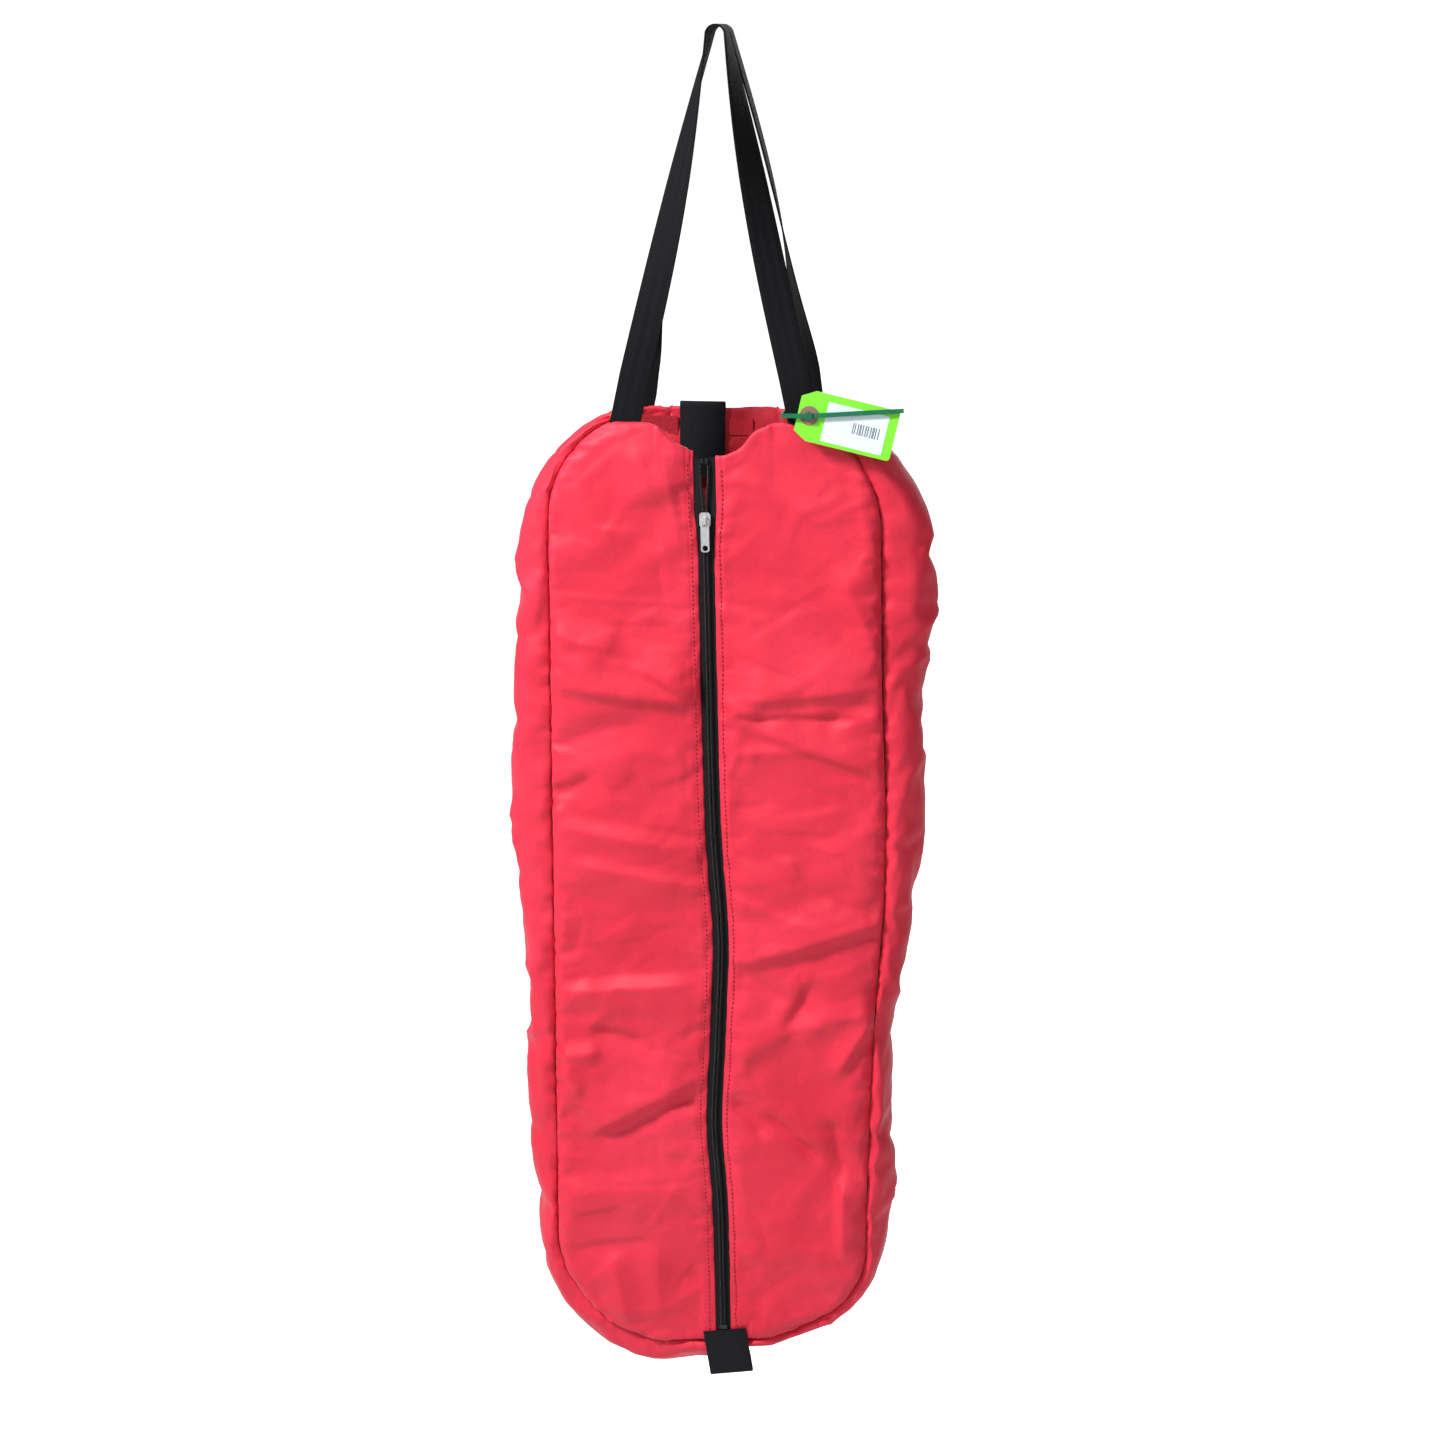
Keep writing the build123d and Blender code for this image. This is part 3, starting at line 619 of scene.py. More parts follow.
def small_folds(x, z, count, seed):
    """Short sharp folds and flat facets strewn over a panel, most of them nearly level."""
    rng = np.random.default_rng(seed)
    total = 0 * x
    low_x, high_x = x.min(), x.max()
    for _ in range(count):
        middle = np.array([rng.uniform(low_x, high_x), rng.uniform(-1100, -345)])
        angle = rng.normal(0, 0.6)
        reach = rng.uniform(9, 34) * np.array([math.cos(angle), math.sin(angle)])
        height = rng.uniform(0.35, 1.3) * rng.choice((-1, 1))
        steep, gentle = rng.uniform(1.2, 3), rng.uniform(5, 16)
        total = total + crease(x, z, middle - reach, middle + reach, height, steep, gentle)
    return total


def front_relief(x, z, side):
    """How far the front stands out of its plane."""
    to_seam = seam_distance(x, z)
    to_zip = np.abs(x - zip_x(z)) - shell_edge(z)
    to_zip = np.maximum(to_zip, 0)
    full = (1 - np.exp(-to_seam / PUFF_RUN)) * (1 - np.exp(-(to_zip + 4) / PUFF_RUN))
    relief = PUFF * full * (0.45 + 0.55 * smooth(-z, 330, 430))
    for start, end, height, above, below in FRONT_CREASES:
        if (start[0] + end[0]) * side > 0:
            relief = relief + crease(x, z, start, end, CREASE_SCALE * height, above, below)
    slack = np.clip(to_seam / 12, 0, 1) * np.clip((to_zip - 1) / 14, 0, 1)
    relief = relief + slack * (2.4 * fractal(x, z, 85, 3.1) + 0.25 * np.abs(fractal(x * 0.7, z, 34, 7.7)))
    relief = relief + slack * small_folds(x, z, 150, 17 + side)
    at_seam = 1.8 * np.exp(-to_seam / 10) * fractal(x * 0.4, z, 9, 12.3 + side)
    at_zip = 1.2 * (1 - np.exp(-to_zip / 3)) * np.exp(-to_zip / 9) * fractal(x * 0.25, z, 7, 21.9 + side)
    pucker = at_seam + at_zip
    relief = relief + 2.0 * pucker
    relief = relief - SEAM_SINK * np.exp(-to_seam / SEAM_ROLL)
    relief = relief - ZIP_ROLL * np.exp(-to_zip / 1.6) + 0.8
    return relief


def stitch_groove(relief, offset, where, depth=0.6, width=1.2):
    """A row of stitches pulls the fabric down along its line."""
    return relief - depth * hump(offset, where, width)


# ---------------------------------------------------------------- front halves
FRONT_ROWS = 330
FRONT_COLUMNS = 62
TOPSTITCH_OFFSET = 5.0


def eased(count, share=0.6):
    """Numbers from 0 to 1 that lie closer together at both ends."""
    even = np.linspace(0, 1, count)
    return (1 - share) * even + share * (1 - np.cos(math.pi * even)) / 2


def mouth_edge(x):
    """Height of the front's top edge: level under the loops, then a sagging dip to the zip."""
    share = smooth(np.abs(x), 6, np.where(x < 0, 62, 52))
    wrinkle = 1.5 * np.sin(x / 4.3) * hump(np.abs(x), 34, 16)
    return ZIP_TOP_Z + ZIP_DIP * share + wrinkle


def front_grid(side):
    rows = np.linspace(0, 1, FRONT_ROWS)[:, None]
    columns = eased(FRONT_COLUMNS)[None, :]
    z_in = ZIP_TOP_Z + (BOTTOM_Z - ZIP_TOP_Z) * rows
    x_in = zip_x(z_in) + side * shell_edge(z_in)
    x_out, z_out, _, _ = seam_point((HALF_SEAM - CORNER_X) * rows)
    x_out = side * x_out
    x = x_in + (x_out - x_in) * columns
    z = z_in + (z_out - z_in) * columns
    chord = ZIP_TOP_Z + (MOUTH_Z - ZIP_TOP_Z) * columns
    z = z + (mouth_edge(x[:1]) - chord) * np.exp(-rows * 18) * (1 - rows)
    to_zip = np.abs(x - zip_x(z)) - shell_edge(z)
    relief = stitch_groove(front_relief(x, z, side), to_zip, TOPSTITCH_OFFSET)
    grid = np.stack([x, -HALF_DEPTH - relief, z], -1)
    return grid


# ---------------------------------------------------------------- back
BACK_ROWS = 300
BACK_COLUMNS = 120


def back_grid():
    rows = np.linspace(0, 1, BACK_ROWS)[:, None]
    columns = eased(BACK_COLUMNS)[None, :]
    half_x, z, _, _ = seam_point((HALF_SEAM - CORNER_X) * rows)
    x = half_x * (2 * columns - 1)
    rise = BACK_RISE * smooth(MOUTH_HALF - np.abs(x), 0, 12) * np.exp(-rows * 16)
    sag = -2.0 * hump(x, 0, 40) * np.exp(-rows * 30)
    z = z + rise + sag + 0 * columns
    to_seam = seam_distance(x, z)
    relief = BACK_PUFF * (1 - np.exp(-to_seam / PUFF_RUN)) * (0.4 + 0.6 * smooth(-z, 330, 430))
    rng = np.random.default_rng(11)
    for _ in range(46):
        middle = np.array([rng.uniform(-110, 110), rng.uniform(-1080, -360)])
        angle = rng.normal(0, 0.35)
        reach = rng.uniform(30, 95) * np.array([math.cos(angle), math.sin(angle)])
        height = rng.uniform(0.8, 2.6) * rng.choice((-1, 1, 1))
        relief = relief + crease(x, z, middle - reach, middle + reach, height, *rng.uniform(3, 16, 2))
    slack = np.clip(to_seam / 12, 0, 1)
    relief = relief + slack * (1.8 * fractal(x, z, 95, 41.0) + 0.7 * np.abs(fractal(x, z, 34, 47.0)))
    relief = relief + 1.1 * np.exp(-to_seam / 7) * fractal(x, z, 9, 53.0)
    relief = relief - SEAM_SINK * np.exp(-to_seam / SEAM_ROLL)
    return np.stack([x, HALF_DEPTH + relief, z], -1)


# ---------------------------------------------------------------- gusset
GUSSET_ROWS = 560
GUSSET_COLUMNS = 44
# height and how far the side stands out there, at the left and at the right
LEFT_BULGE = [
    (-313, 2),
    (-345, 9),
    (-395, 23),
    (-430, 30),
    (-520, 33),
    (-600, 38),
    (-650, 38),
    (-720, 33),
    (-760, 31),
    (-830, 27),
    (-900, 27),
    (-1000, 22),
    (-1050, 20),
    (-1100, 24),
    (-1145, 26),
]
RIGHT_BULGE = [
    (-313, 12),
    (-360, 22),
    (-395, 38),
    (-440, 41),
    (-470, 40),
    (-512, 29),
    (-560, 29),
    (-620, 28),
    (-700, 25),
    (-740, 21),
    (-820, 16),
    (-900, 18),
    (-970, 18),
    (-1040, 9),
    (-1145, 8),
]


def gusset_grid():
    share = np.linspace(-1, 1, GUSSET_ROWS)[:, None]
    turn = math.pi * eased(GUSSET_COLUMNS, 0.35)[None, :]
    side = np.sign(share) + (share == 0)
    distance = HALF_SEAM * (1 - np.abs(share))
    x, z, out_x, out_z = seam_point(distance)
    x, out_x = side * x, side * out_x
    bulge = np.where(share < 0, read_table(z, LEFT_BULGE), read_table(z, RIGHT_BULGE))
    y = -HALF_DEPTH * np.cos(turn) + 0 * share
    out = bulge * np.sin(turn) ** 0.9
    # folds that run round the side, one after another down the strip
    rng = np.random.default_rng(5)
    run = HALF_SEAM * share + 0 * turn
    over = (turn / math.pi) + 0 * run
    fold = 0 * out
    for _ in range(110):
        at = rng.uniform(-HALF_SEAM + 20, HALF_SEAM - 20)
        lean = rng.normal(0, 26)
        height = rng.uniform(0.8, 3.4) * rng.choice((-1, -1, 1, 1, 1))
        above, below = rng.uniform(2.5, 13, 2)
        low, high = np.sort(rng.uniform(-0.15, 1.15, 2))
        off = run - at - lean * (over - 0.5) - 3 * np.sin(6 * over + at)
        window = smooth(over, low, low + 0.18) * (1 - smooth(over, high - 0.18, high))
        slope = np.where(off > 0, above, below)
        fold = fold + height * window * np.exp(-(np.sqrt(off**2 + 0.5) - 0.7) / slope)
    middle = np.sin(turn)
    fold = fold * (0.35 + 0.65 * middle)
    fold = fold + 1.6 * fractal(run, over * 110, 60, 61.0) * middle
    fold = fold + 0.9 * np.abs(fractal(run, over * 110, 24, 67.0)) * middle
    near = np.minimum(turn, math.pi - turn) * HALF_DEPTH
    pucker = 2.4 * np.exp(-near / 13) * fractal(run, over * 30, 9, 71.0)
    roll = 1 - np.exp(-near / SEAM_ROLL)
    out = out + (fold + pucker) * middle + 1.0
    swell = 2.5 * middle**2 * roll
    y = y - np.cos(turn) * ((fold + pucker) * (1 - middle) - SEAM_SINK * (1 - roll) + swell)
    out = out - (1 - roll)
    return np.stack([x + out_x * out, y, z + out_z * out], -1)


# ---------------------------------------------------------------- spare cloth buckles, by simulation
FRAMES = 18
CAP = 4.0  # the furthest that the simulation may move a point, in millimetres
ROW_STEP = 3  # the simulated grid keeps every third row
COLUMN_STEP = 2
FRONT_SLACK = 0.012
BACK_SLACK = 0.022
GUSSET_SLACK = 0.03
PUSH = 0.3  # pressure from inside


def upsample(coarse, rows, columns, shape):
    """Bilinear values on the full grid from the kept rows and columns, and then softened."""
    by_row = np.empty((shape[0], len(columns), 3))
    full = np.empty(shape)
    for axis in range(3):
        for c in range(len(columns)):
            by_row[:, c, axis] = np.interp(np.arange(shape[0]), rows, coarse[:, c, axis])
        for r in range(shape[0]):
            full[r, :, axis] = np.interp(np.arange(shape[1]), columns, by_row[r, :, axis])
    for _ in range(3):
        full[1:-1] = (full[:-2] + 2 * full[1:-1] + full[2:]) / 4
        full[:, 1:-1] = (full[:, :-2] + 2 * full[:, 1:-1] + full[:, 2:]) / 4
    return full


def settle(grid, slack, push):
    """The panel with spare cloth in it, held at its edges, after it has buckled."""
    rows = np.unique(np.append(np.arange(0, grid.shape[0], ROW_STEP), grid.shape[0] - 1))
    columns = np.unique(np.append(np.arange(0, grid.shape[1], COLUMN_STEP), grid.shape[1] - 1))
    coarse = grid[np.ix_(rows, columns)]
    sheet = add_mesh("settling", coarse.reshape(-1, 3), grid_faces(len(rows), len(columns)).tolist(), [])
    number = np.arange(len(rows) * len(columns)).reshape(len(rows), len(columns))
    held = sheet.vertex_groups.new(name="held")
    border = np.unique(np.concatenate([number[0], number[-1], number[:, 0], number[:, -1]]))
    held.add(border.tolist(), 1.0, "REPLACE")
    cloth = sheet.modifiers.new("cloth", "CLOTH")
    cloth.settings.quality = 5
    cloth.settings.mass = 0.15
    cloth.settings.tension_stiffness = 15
    cloth.settings.compression_stiffness = 15
    cloth.settings.shear_stiffness = 5
    cloth.settings.bending_stiffness = 0.4
    cloth.settings.shrink_min = -slack
    cloth.settings.shrink_max = -slack
    cloth.settings.use_pressure = True
    cloth.settings.uniform_pressure_force = push
    cloth.settings.vertex_group_mass = "held"
    cloth.settings.effector_weights.gravity = 0
    cloth.point_cache.frame_start = 1
    cloth.point_cache.frame_end = FRAMES
    for number_of_frame in range(1, FRAMES + 1):
        bpy.context.scene.frame_set(number_of_frame)
    result = sheet.evaluated_get(bpy.context.evaluated_depsgraph_get()).data
    moved = np.array([v.co for v in result.vertices], float).reshape(coarse.shape) / MM
    shift = moved - coarse
    size = np.linalg.norm(shift, axis=-1, keepdims=True)
    shift *= CAP * np.tanh(size / CAP) / np.maximum(size, 1e-6)
    bpy.data.objects.remove(sheet)
    bpy.context.scene.frame_set(1)
    return grid + upsample(shift, rows, columns, grid.shape)


def above_tape(grid):
    """Keeps the fabric beside the zip in front of the tape that is sewn behind it."""
    x, y, z = np.moveaxis(grid, -1, 0)
    beside = (np.abs(x - zip_x(z)) - shell_edge(z) < 11) & (z > ZIP_END_Z - 6)
    return np.stack([x, np.where(beside, np.minimum(y, -HALF_DEPTH - 0.15), y), z], -1)


def under_tab(grid):
    """Presses the fabric flat where the bottom tab is sewn over it."""
    x, y, z = np.moveaxis(grid, -1, 0)
    pressed = smooth(BROAD_WIDTH / 2 + 5 - np.abs(x - TAB_X), 0, 4) * smooth(-z, 1097, 1103)
    flat = np.maximum(y, -HALF_DEPTH - 0.2)
    return np.stack([x, y + (flat - y) * pressed, z], -1)


def over_sewn_ends(grid, facing):
    """Keeps the walls at the mouth round the webbing ends that are sewn inside them."""
    x, y, z = np.moveaxis(grid, -1, 0)
    low = MOUTH_Z - SEWN_LENGTH
    by_loop = np.abs(np.abs(x) - LOOP_BASE_X) < WEB_WIDTH / 2 + 6
    reach = (z > low - 8) & by_loop & (seam_distance(x, z) > 1.5)
    y = np.where(reach, facing * np.maximum(facing * y, HALF_DEPTH - SEWN_MARGIN), y)
    if facing > 0:
        by_strap = smooth(BROAD_WIDTH / 2 + 16 - np.abs(x - STRAP_X), 0, 14) * smooth(z, low - 16, low - 2)
        y = y + (np.minimum(y, HALF_DEPTH + 1.1) - y) * by_strap
    return np.stack([x, y, z], -1)


def front_points(side):
    settled = settle(front_grid(side), FRONT_SLACK, PUSH * side)
    return drift(over_sewn_ends(under_tab(above_tape(settled)), -1))


front_grids = {side: front_points(side) for side in (-1, 1)}

# how much the top, right, bottom and left rims bulge
FRONT_RIMS = (1.0, 0.1, 0.1, 0.3)
BACK_RIMS = (1.0, 0.1, 0.1, 0.1)
GUSSET_RIMS = (0.8, 0.1, 0.8, 0.1)

back_points = drift(over_sewn_ends(settle(back_grid(), BACK_SLACK, PUSH), 1))
gusset_points = drift(settle(gusset_grid(), GUSSET_SLACK, PUSH))
for word, points, rims in (
    ("front_left", front_grids[-1], FRONT_RIMS),
    ("front_right", front_grids[1], FRONT_RIMS),
    ("back", back_points, BACK_RIMS),
    ("gusset", gusset_points, GUSSET_RIMS),
):
    panel = padded_panel(f"{word}_panel", points, WALL, rims, [RED, LINING])
    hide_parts(f"{word}_shell", f"{word}_padding", f"{word}_lining")
    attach(panel, "bag")

# ---------------------------------------------------------------- seam tapes inside
BINDING_WIDTH = 8.0
BINDING_THICK = 1.2
BINDING_INSET = 7.5
BINDING_Y = 27.0
BINDING_FROM_MOUTH = 12.0

for word, facing in (("front", -1), ("back", 1)):
    spread = np.linspace(-1, 1, 260)
    x, z, out_x, out_z = seam_point(HALF_SEAM * (1 - np.abs(spread)) + BINDING_FROM_MOUTH)
    way = np.where(spread < 0, -1, 1)
    y = facing * (BINDING_Y + 0.5 * np.sin(spread * 190))
    centre = np.stack([way * (x - out_x * BINDING_INSET), y, z - out_z * BINDING_INSET], -1)
    across = np.stack([way * out_x, 0 * x, out_z], -1)
    tape = ribbon(f"{word}_seam_tape", centre, across, BINDING_WIDTH, BINDING_THICK, BINDING)
    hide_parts(f"{word}_seam_binding")
    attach(tape, "bag")


# ---------------------------------------------------------------- zip
TAPE_WIDTH = 14.6
TAPE_THICK = 0.6
TAPE_CENTRE = 7.9  # from the zip's line
COIL_PITCH = 1.25
COIL_STEPS = 9  # points on one turn of the coil
COIL_CENTRE = 1.5
COIL_REACH = 1.271  # half the coil's width
COIL_RISE = 1.0  # half its height
COIL_AHEAD = 1.15  # from the tape's face to its middle
COIL_WIRE = 0.36
CORE_CENTRE = 1.9
CORE_AHEAD = 0.7
CORE_RADIUS = 0.75
PARTING = 2.0


def open_by(z):
    """How far each half of the zip's chain has parted, above the slider."""
    return PARTING * smooth(z, -385, -352)


def zip_line(z, offset, y):
    """Points beside the zip's line, at these heights."""
    return np.stack([zip_x(z) + offset, np.full_like(z, y), z], -1)


def coil_path(side, low, high):
    """The middle of one coil's wire, from its top end to its bottom end."""
    turns = (high - low) / COIL_PITCH
    angle = np.arange(int(turns * COIL_STEPS)) * 2 * math.pi / COIL_STEPS
    z = high - angle / (2 * math.pi) * COIL_PITCH
    offset = side * (COIL_CENTRE + open_by(z) + COIL_REACH * np.cos(angle))
    y = -TAPE_FACE - COIL_AHEAD + COIL_RISE * np.sin(angle)
    return np.stack([zip_x(z) + offset, y, z], -1)


for side, word in ((-1, "left"), (1, "right")):
    tape_z = np.linspace(ZIP_TOP_Z + 1, ZIP_END_Z, 300)
    centre = zip_line(tape_z, side * (TAPE_CENTRE + open_by(tape_z)), -TAPE_FACE + TAPE_THICK / 2)
    across = np.tile([side * 1.0, 0, 0], (len(centre), 1))
    tape = ribbon(f"zip_tape_{word}", centre, across, TAPE_WIDTH, TAPE_THICK, TAPE)
    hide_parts(f"zipper_tape_{word}")
    wire = tube(coil_path(side, ZIP_END_Z + 5, ZIP_TOP_Z - 5), COIL_WIRE, 5)
    coil = joined(f"zip_coil_{word}", [wire], COIL)
    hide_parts(f"zipper_coil_{word}")
    core_z = np.linspace(ZIP_TOP_Z - 2, ZIP_END_Z + 3, 240)
    core = zip_line(core_z, side * (CORE_CENTRE + open_by(core_z)), -TAPE_FACE - CORE_AHEAD)
    stitching = joined(f"coil_stitching_{word}", [tube(core, CORE_RADIUS, 6)], TAPE)
    for piece in (tape, coil, stitching):
        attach(piece, "bag")


STITCH_LENGTH = 2.4
STITCH_PITCH = 3.9
STITCH_RADIUS = 0.5
STITCH_ARCH = np.array([-1.2, 0.5, 0.8, 0.5, -1.2])  # its height over the fabric, in radii


def along_line(marks, distance, line):
    """Points of a line at these distances along it."""
    return np.stack([np.interp(marks, distance, line[:, axis]) for axis in range(3)], -1)


def dashes(grid, offset):
    """A row of stitches on a front half, this far from its zip edge."""
    line = np.array([along_line(offset, arc_lengths(row), row) for row in grid[4:-4]])
    distance = arc_lengths(line)
    shapes = []
    for number in range(int(distance[-1] / STITCH_PITCH)):
        marks = number * STITCH_PITCH + np.linspace(0, STITCH_LENGTH, len(STITCH_ARCH))
        path = along_line(marks, distance, line)
        path[:, 1] -= STITCH_RADIUS * STITCH_ARCH
        shapes.append(tube(path, STITCH_RADIUS, 5))
    return shapes


for side, word in ((-1, "left"), (1, "right")):
    stitches = joined(f"zip_stitches_{word}", dashes(front_grids[side], TOPSTITCH_OFFSET), TOPSTITCH)
    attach(stitches, "bag")


# ---------------------------------------------------------------- webbing loops
BEND_RADIUS = HOOK_RADIUS + WEB_THICK / 2


def leg_slope():
    """How far a leg leans from upright, where it leaves the hook as a tangent."""
    angle = 0.0
    for _ in range(20):
        run = LOOP_BASE_X - BEND_RADIUS * math.cos(angle)
        fall = -MOUTH_Z - HOOK_RADIUS + BEND_RADIUS * math.sin(angle)
        angle = math.atan2(run, fall)
    return angle


SLOPE = leg_slope()


def leg_x(z):
    return LOOP_BASE_X - (z - MOUTH_Z) * math.tan(SLOPE)


def front_twist(share):
    """Turn of the webbing about its leg: a quarter turn at the hook, none at the base."""
    return math.pi / 2 * (1 - share) ** 1.5


def back_twist(share):
    return math.pi / 2 * (1 - min(share / BACK_FLAT, 1.0) ** 4.5)


def loop_path(facing, edge_z, stub, bow, twist, stations=70):
    """Centre points and across directions from one sewn end over the hook to the other."""
    bend_z = edge_z + stub
    y_top, y_low = facing * LOOP_SPACING / 2, facing * WEB_PLANE
    x_top, z_top = BEND_RADIUS * math.cos(SLOPE), BEND_RADIUS * math.sin(SLOPE) - HOOK_RADIUS
    lean, rise = math.cos(SLOPE), math.sin(SLOPE)
    centre, across = [], []
    for z in np.linspace(edge_z - SEWN_LENGTH + 2, bend_z - 2, 14):
        centre.append((leg_x(z), y_low, z))
        across.append((lean, 0, rise))
    for share in np.linspace(1, 0, stations):
        turn = twist(share)
        x = x_top + (leg_x(bend_z) - x_top) * share + bow * math.sin(math.pi * share)
        centre.append((x, y_top + (y_low - y_top) * share, z_top + (bend_z - z_top) * share))
        across.append((math.cos(turn) * lean, -facing * math.sin(turn), math.cos(turn) * rise))
    over, over_across = [], []
    for angle in np.linspace(SLOPE, math.pi - SLOPE, 15)[1:-1]:
        over.append((BEND_RADIUS * math.cos(angle), y_top, BEND_RADIUS * math.sin(angle) - HOOK_RADIUS))
        over_across.append((0, -facing, 0))
    mirror = np.array([-1, 1, 1])
    left = np.array(centre)[::-1] * mirror
    left_across = np.array(across)[::-1] * mirror
    return np.concatenate([centre, over, left]), np.concatenate([across, over_across, left_across])


for word, facing, edge_z, stub, bow, twist in (
    ("front", -1, MOUTH_Z, FRONT_STUB, FRONT_BOW, front_twist),
    ("back", 1, MOUTH_Z + BACK_RISE, BACK_STUB, BACK_BOW, back_twist),
):
    centre, across = loop_path(facing, edge_z, stub, bow, twist)
    strap = ribbon(f"{word}_loop_webbing", centre, across, WEB_WIDTH, WEB_THICK, WEBBING)
    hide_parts(f"{word}_loop", f"{word}_loop_ends")
    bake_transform(strap)

# ---------------------------------------------------------------- mouth strap
strap_bend = MOUTH_Z + BACK_RISE + STRAP_RISE
fold_y = WEB_PLANE - 2 * STRAP_FOLD
path = [(STRAP_X, WEB_PLANE, z) for z in np.linspace(strap_bend - SEWN_LENGTH, strap_bend, 12)]
for angle in np.linspace(0, math.pi, 11)[1:]:
    fold_point = (WEB_PLANE - STRAP_FOLD * (1 - math.cos(angle)), strap_bend + STRAP_FOLD * math.sin(angle))
    path.append((STRAP_X, *fold_point))
for z in np.linspace(strap_bend, strap_bend - STRAP_FALL, 24)[1:]:
    drop = (strap_bend - z) / STRAP_FALL
    path.append((STRAP_X, fold_y - 1.5 * drop**2, z))
across = np.tile([1.0, 0, 0], (len(path), 1))
mouth_strap = ribbon("mouth_strap_webbing", path, across, BROAD_WIDTH, BROAD_THICK, BROAD)
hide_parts("mouth_strap", "mouth_strap_end")
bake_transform(mouth_strap)

# ---------------------------------------------------------------- bottom tab
TAB_CLEAR = 0.3  # fabric to webbing
TAB_FOLD_GAP = 0.4
TAB_BACK_DROP = 11.0

front_y = -HALF_DEPTH - BROAD_THICK / 2 - TAB_CLEAR
tab_pivot = (TAB_TOP_Z + BOTTOM_Z) / 2
fold_radius = (BROAD_THICK + TAB_FOLD_GAP) / 2
fold_z = TAB_TOP_Z - TAB_LENGTH + fold_radius + BROAD_THICK / 2
path = [(0, front_y, z) for z in np.linspace(TAB_TOP_Z, fold_z, 20)]
for angle in np.linspace(0, math.pi, 9)[1:]:
    path.append((0, front_y + fold_radius * (1 - math.cos(angle)), fold_z - fold_radius * math.sin(angle)))
path += [(0, front_y + 2 * fold_radius, z) for z in np.linspace(fold_z, BOTTOM_Z - TAB_BACK_DROP, 12)[1:]]
path = np.array(path)
across = np.tile([math.cos(TAB_TURN), 0, math.sin(TAB_TURN)], (len(path), 1))
drop = path[:, 2] - tab_pivot
tab_x = TAB_X - drop * math.sin(TAB_TURN)
tab_path = np.stack([tab_x, path[:, 1], tab_pivot + drop * math.cos(TAB_TURN)], -1)
tab = ribbon("bottom_tab_webbing", tab_path, across, BROAD_WIDTH, BROAD_THICK, BROAD)
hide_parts("bottom_tab")
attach(tab, "bag")

# ---------------------------------------------------------------- CAD nodes that stay
KEPT = {
    "zipper_top_stops": (COIL, "zip_stop"),
    "zipper_bottom_stop": (COIL, "zip_stop"),
    "zipper_slider": (METAL, "slider_metal"),
    "zipper_pull": (METAL, "pull_metal"),
    "hook_and_loop_patch": (FUZZ, "hook_and_loop"),
    "reinforcement_patch": (LINING, "lining"),
    "tag_card": (CARD, "tag_card"),
    "tag_label": (LABEL, "tag_label"),
    "tag_eyelet": (FIBRE, "tag_fibre"),
    "tag_tie": (TIE, "tie_plastic"),
}
for node, (material, slot_name) in KEPT.items():
    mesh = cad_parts[node].data
    mesh.materials.clear()
    mesh.materials.append(material)

# ---------------------------------------------------------------- floor, light and camera
CAMERA_AZIMUTH = math.radians(8)
CAMERA_ELEVATION = math.radians(13.6)
CAMERA_DISTANCE = 2.4
CAMERA_LENS = 71.15
AIM = Vector((0.0025, 0, -0.569))
FLOOR_Z = -1.75

floor_mesh = bpy.data.meshes.new("floor")
reach = 30.0
floor_mesh.from_pydata(
    [(-reach, -reach, FLOOR_Z), (reach, -reach, FLOOR_Z), (reach, reach, FLOOR_Z), (-reach, reach, FLOOR_Z)],
    [],
    [(0, 1, 2, 3)],
)
floor = bpy.data.objects.new("floor", floor_mesh)
bpy.context.scene.collection.objects.link(floor)
paint = Nodes("floor_paint")
glow = paint.math("MULTIPLY_ADD", paint.add("ShaderNodeLightPath").outputs["Is Camera Ray"], 0.95, 0.12)
paint.set(Base_Color=(0.8, 0.8, 0.8, 1), Roughness=0.9, Emission_Color=(1, 1, 1, 1), Emission_Strength=glow)
floor_mesh.materials.append(paint.material)

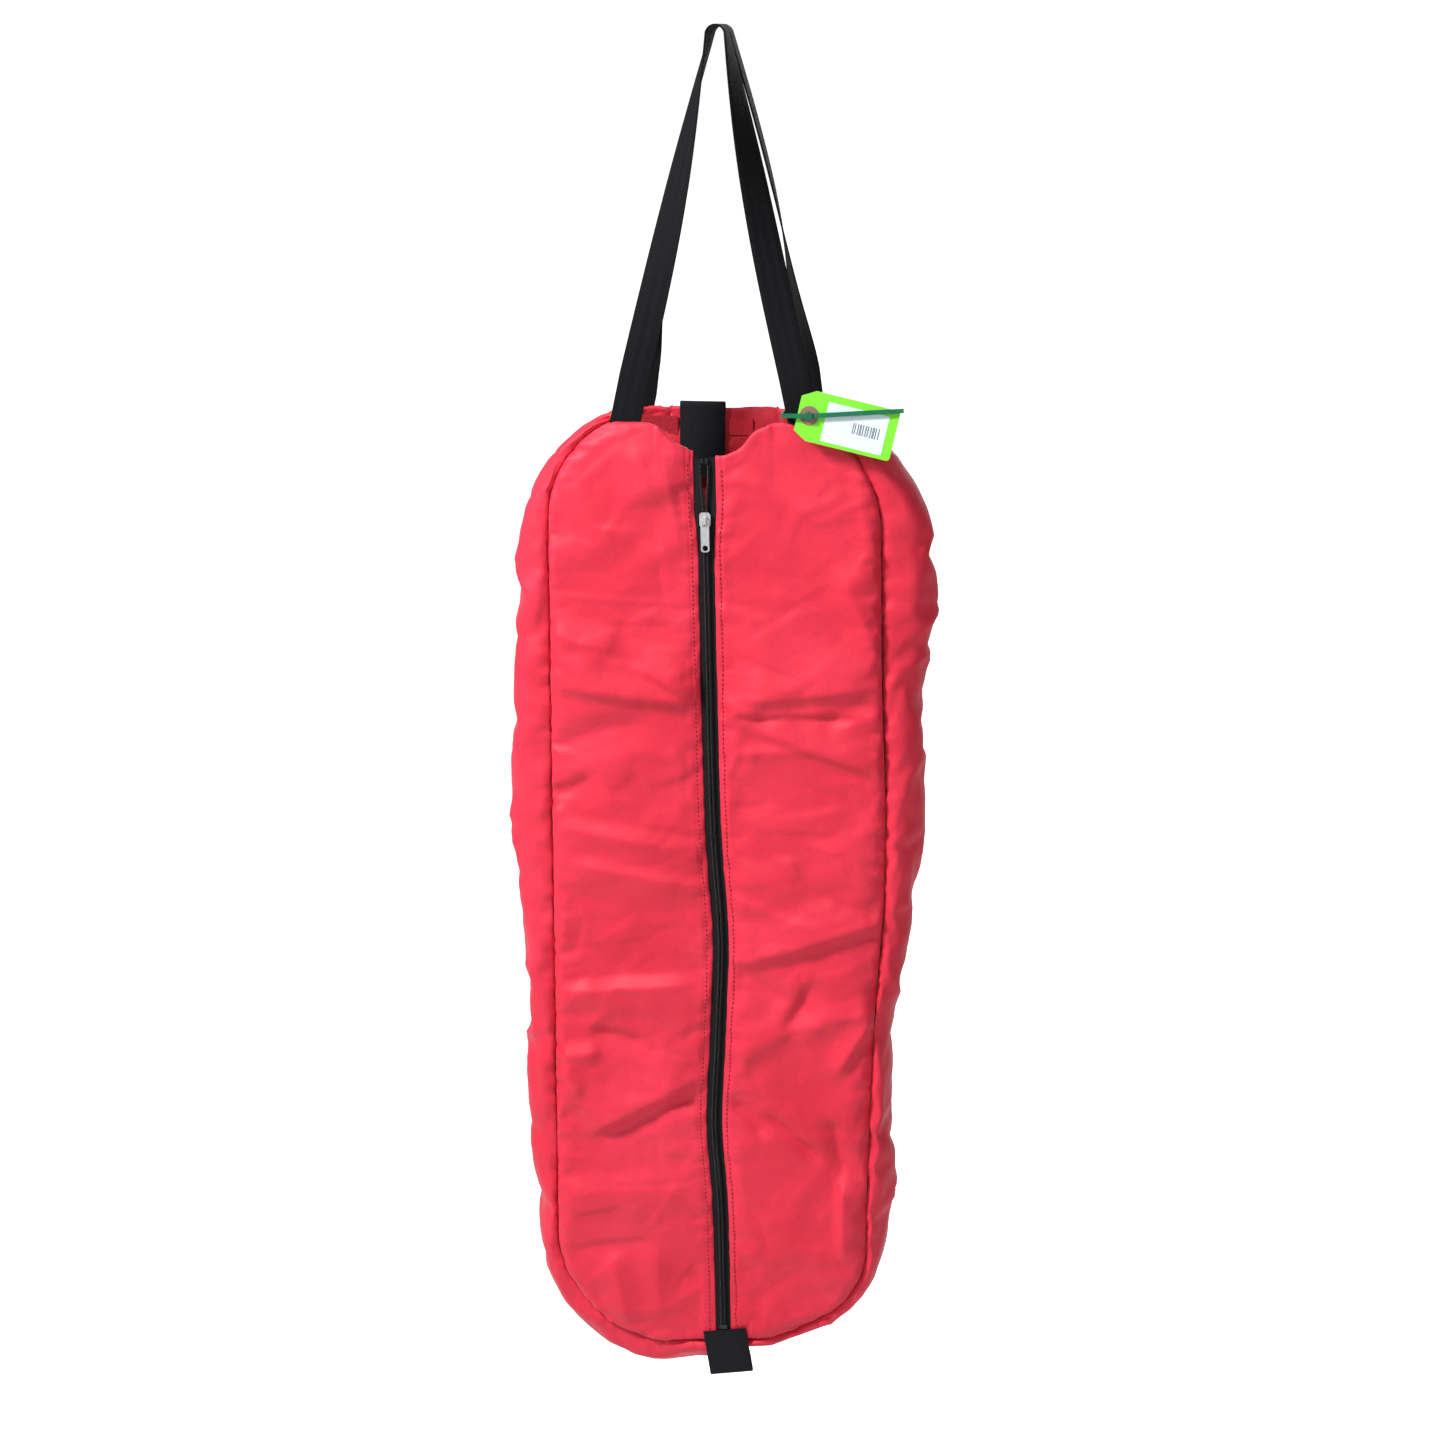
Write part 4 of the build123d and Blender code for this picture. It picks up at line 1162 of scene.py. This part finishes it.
world = bpy.data.worlds.new("studio")
bpy.context.scene.world = world
world.use_nodes = True
nodes = world.node_tree.nodes
seen = nodes.new("ShaderNodeBackground")
seen.inputs["Strength"].default_value = 1.05
unseen = nodes["Background"]
unseen.inputs["Color"].default_value = (1, 1, 1, 1)
unseen.inputs["Strength"].default_value = 0.20
chooser = nodes.new("ShaderNodeMixShader")
ray = nodes.new("ShaderNodeLightPath")
links = world.node_tree.links
seen.inputs["Color"].default_value = (1, 1, 1, 1)
links.new(ray.outputs["Is Camera Ray"], chooser.inputs[0])
links.new(unseen.outputs[0], chooser.inputs[1])
links.new(seen.outputs[0], chooser.inputs[2])
links.new(chooser.outputs[0], nodes["World Output"].inputs["Surface"])


def softbox(name, place, target, size, power):
    lamp = bpy.data.lights.new(name, "AREA")
    lamp.shape = "RECTANGLE"
    lamp.size, lamp.size_y = size
    lamp.energy = power
    lamp_object = bpy.data.objects.new(name, lamp)
    lamp_object.location = place
    lamp_object.rotation_euler = (Vector(target) - Vector(place)).to_track_quat("-Z", "Y").to_euler()
    bpy.context.scene.collection.objects.link(lamp_object)


softbox("key", (-1.5, -1.25, 1.15), (0, 0, -0.65), (0.5, 0.5), 96)
softbox("fill", (1.2, -2.6, 0.3), (0, 0, -0.7), (1.6, 1.6), 16)
softbox("back_light", (0.6, 2.6, 0.9), (0, 0, -0.7), (2.0, 2.0), 34)

camera_data = bpy.data.cameras.new("camera")
camera_data.sensor_width = 36.0
camera_data.lens = CAMERA_LENS
camera_data.clip_end = 100
camera = bpy.data.objects.new("camera", camera_data)
back_of = Vector(
    (
        math.sin(CAMERA_AZIMUTH) * math.cos(CAMERA_ELEVATION),
        -math.cos(CAMERA_AZIMUTH) * math.cos(CAMERA_ELEVATION),
        math.sin(CAMERA_ELEVATION),
    )
)
camera.location = AIM + back_of * CAMERA_DISTANCE
camera.rotation_euler = (-back_of).to_track_quat("-Z", "Y").to_euler()
bpy.context.scene.collection.objects.link(camera)
bpy.context.scene.camera = camera
bpy.context.scene.view_settings.view_transform = "Standard"

bpy.context.view_layer.update()
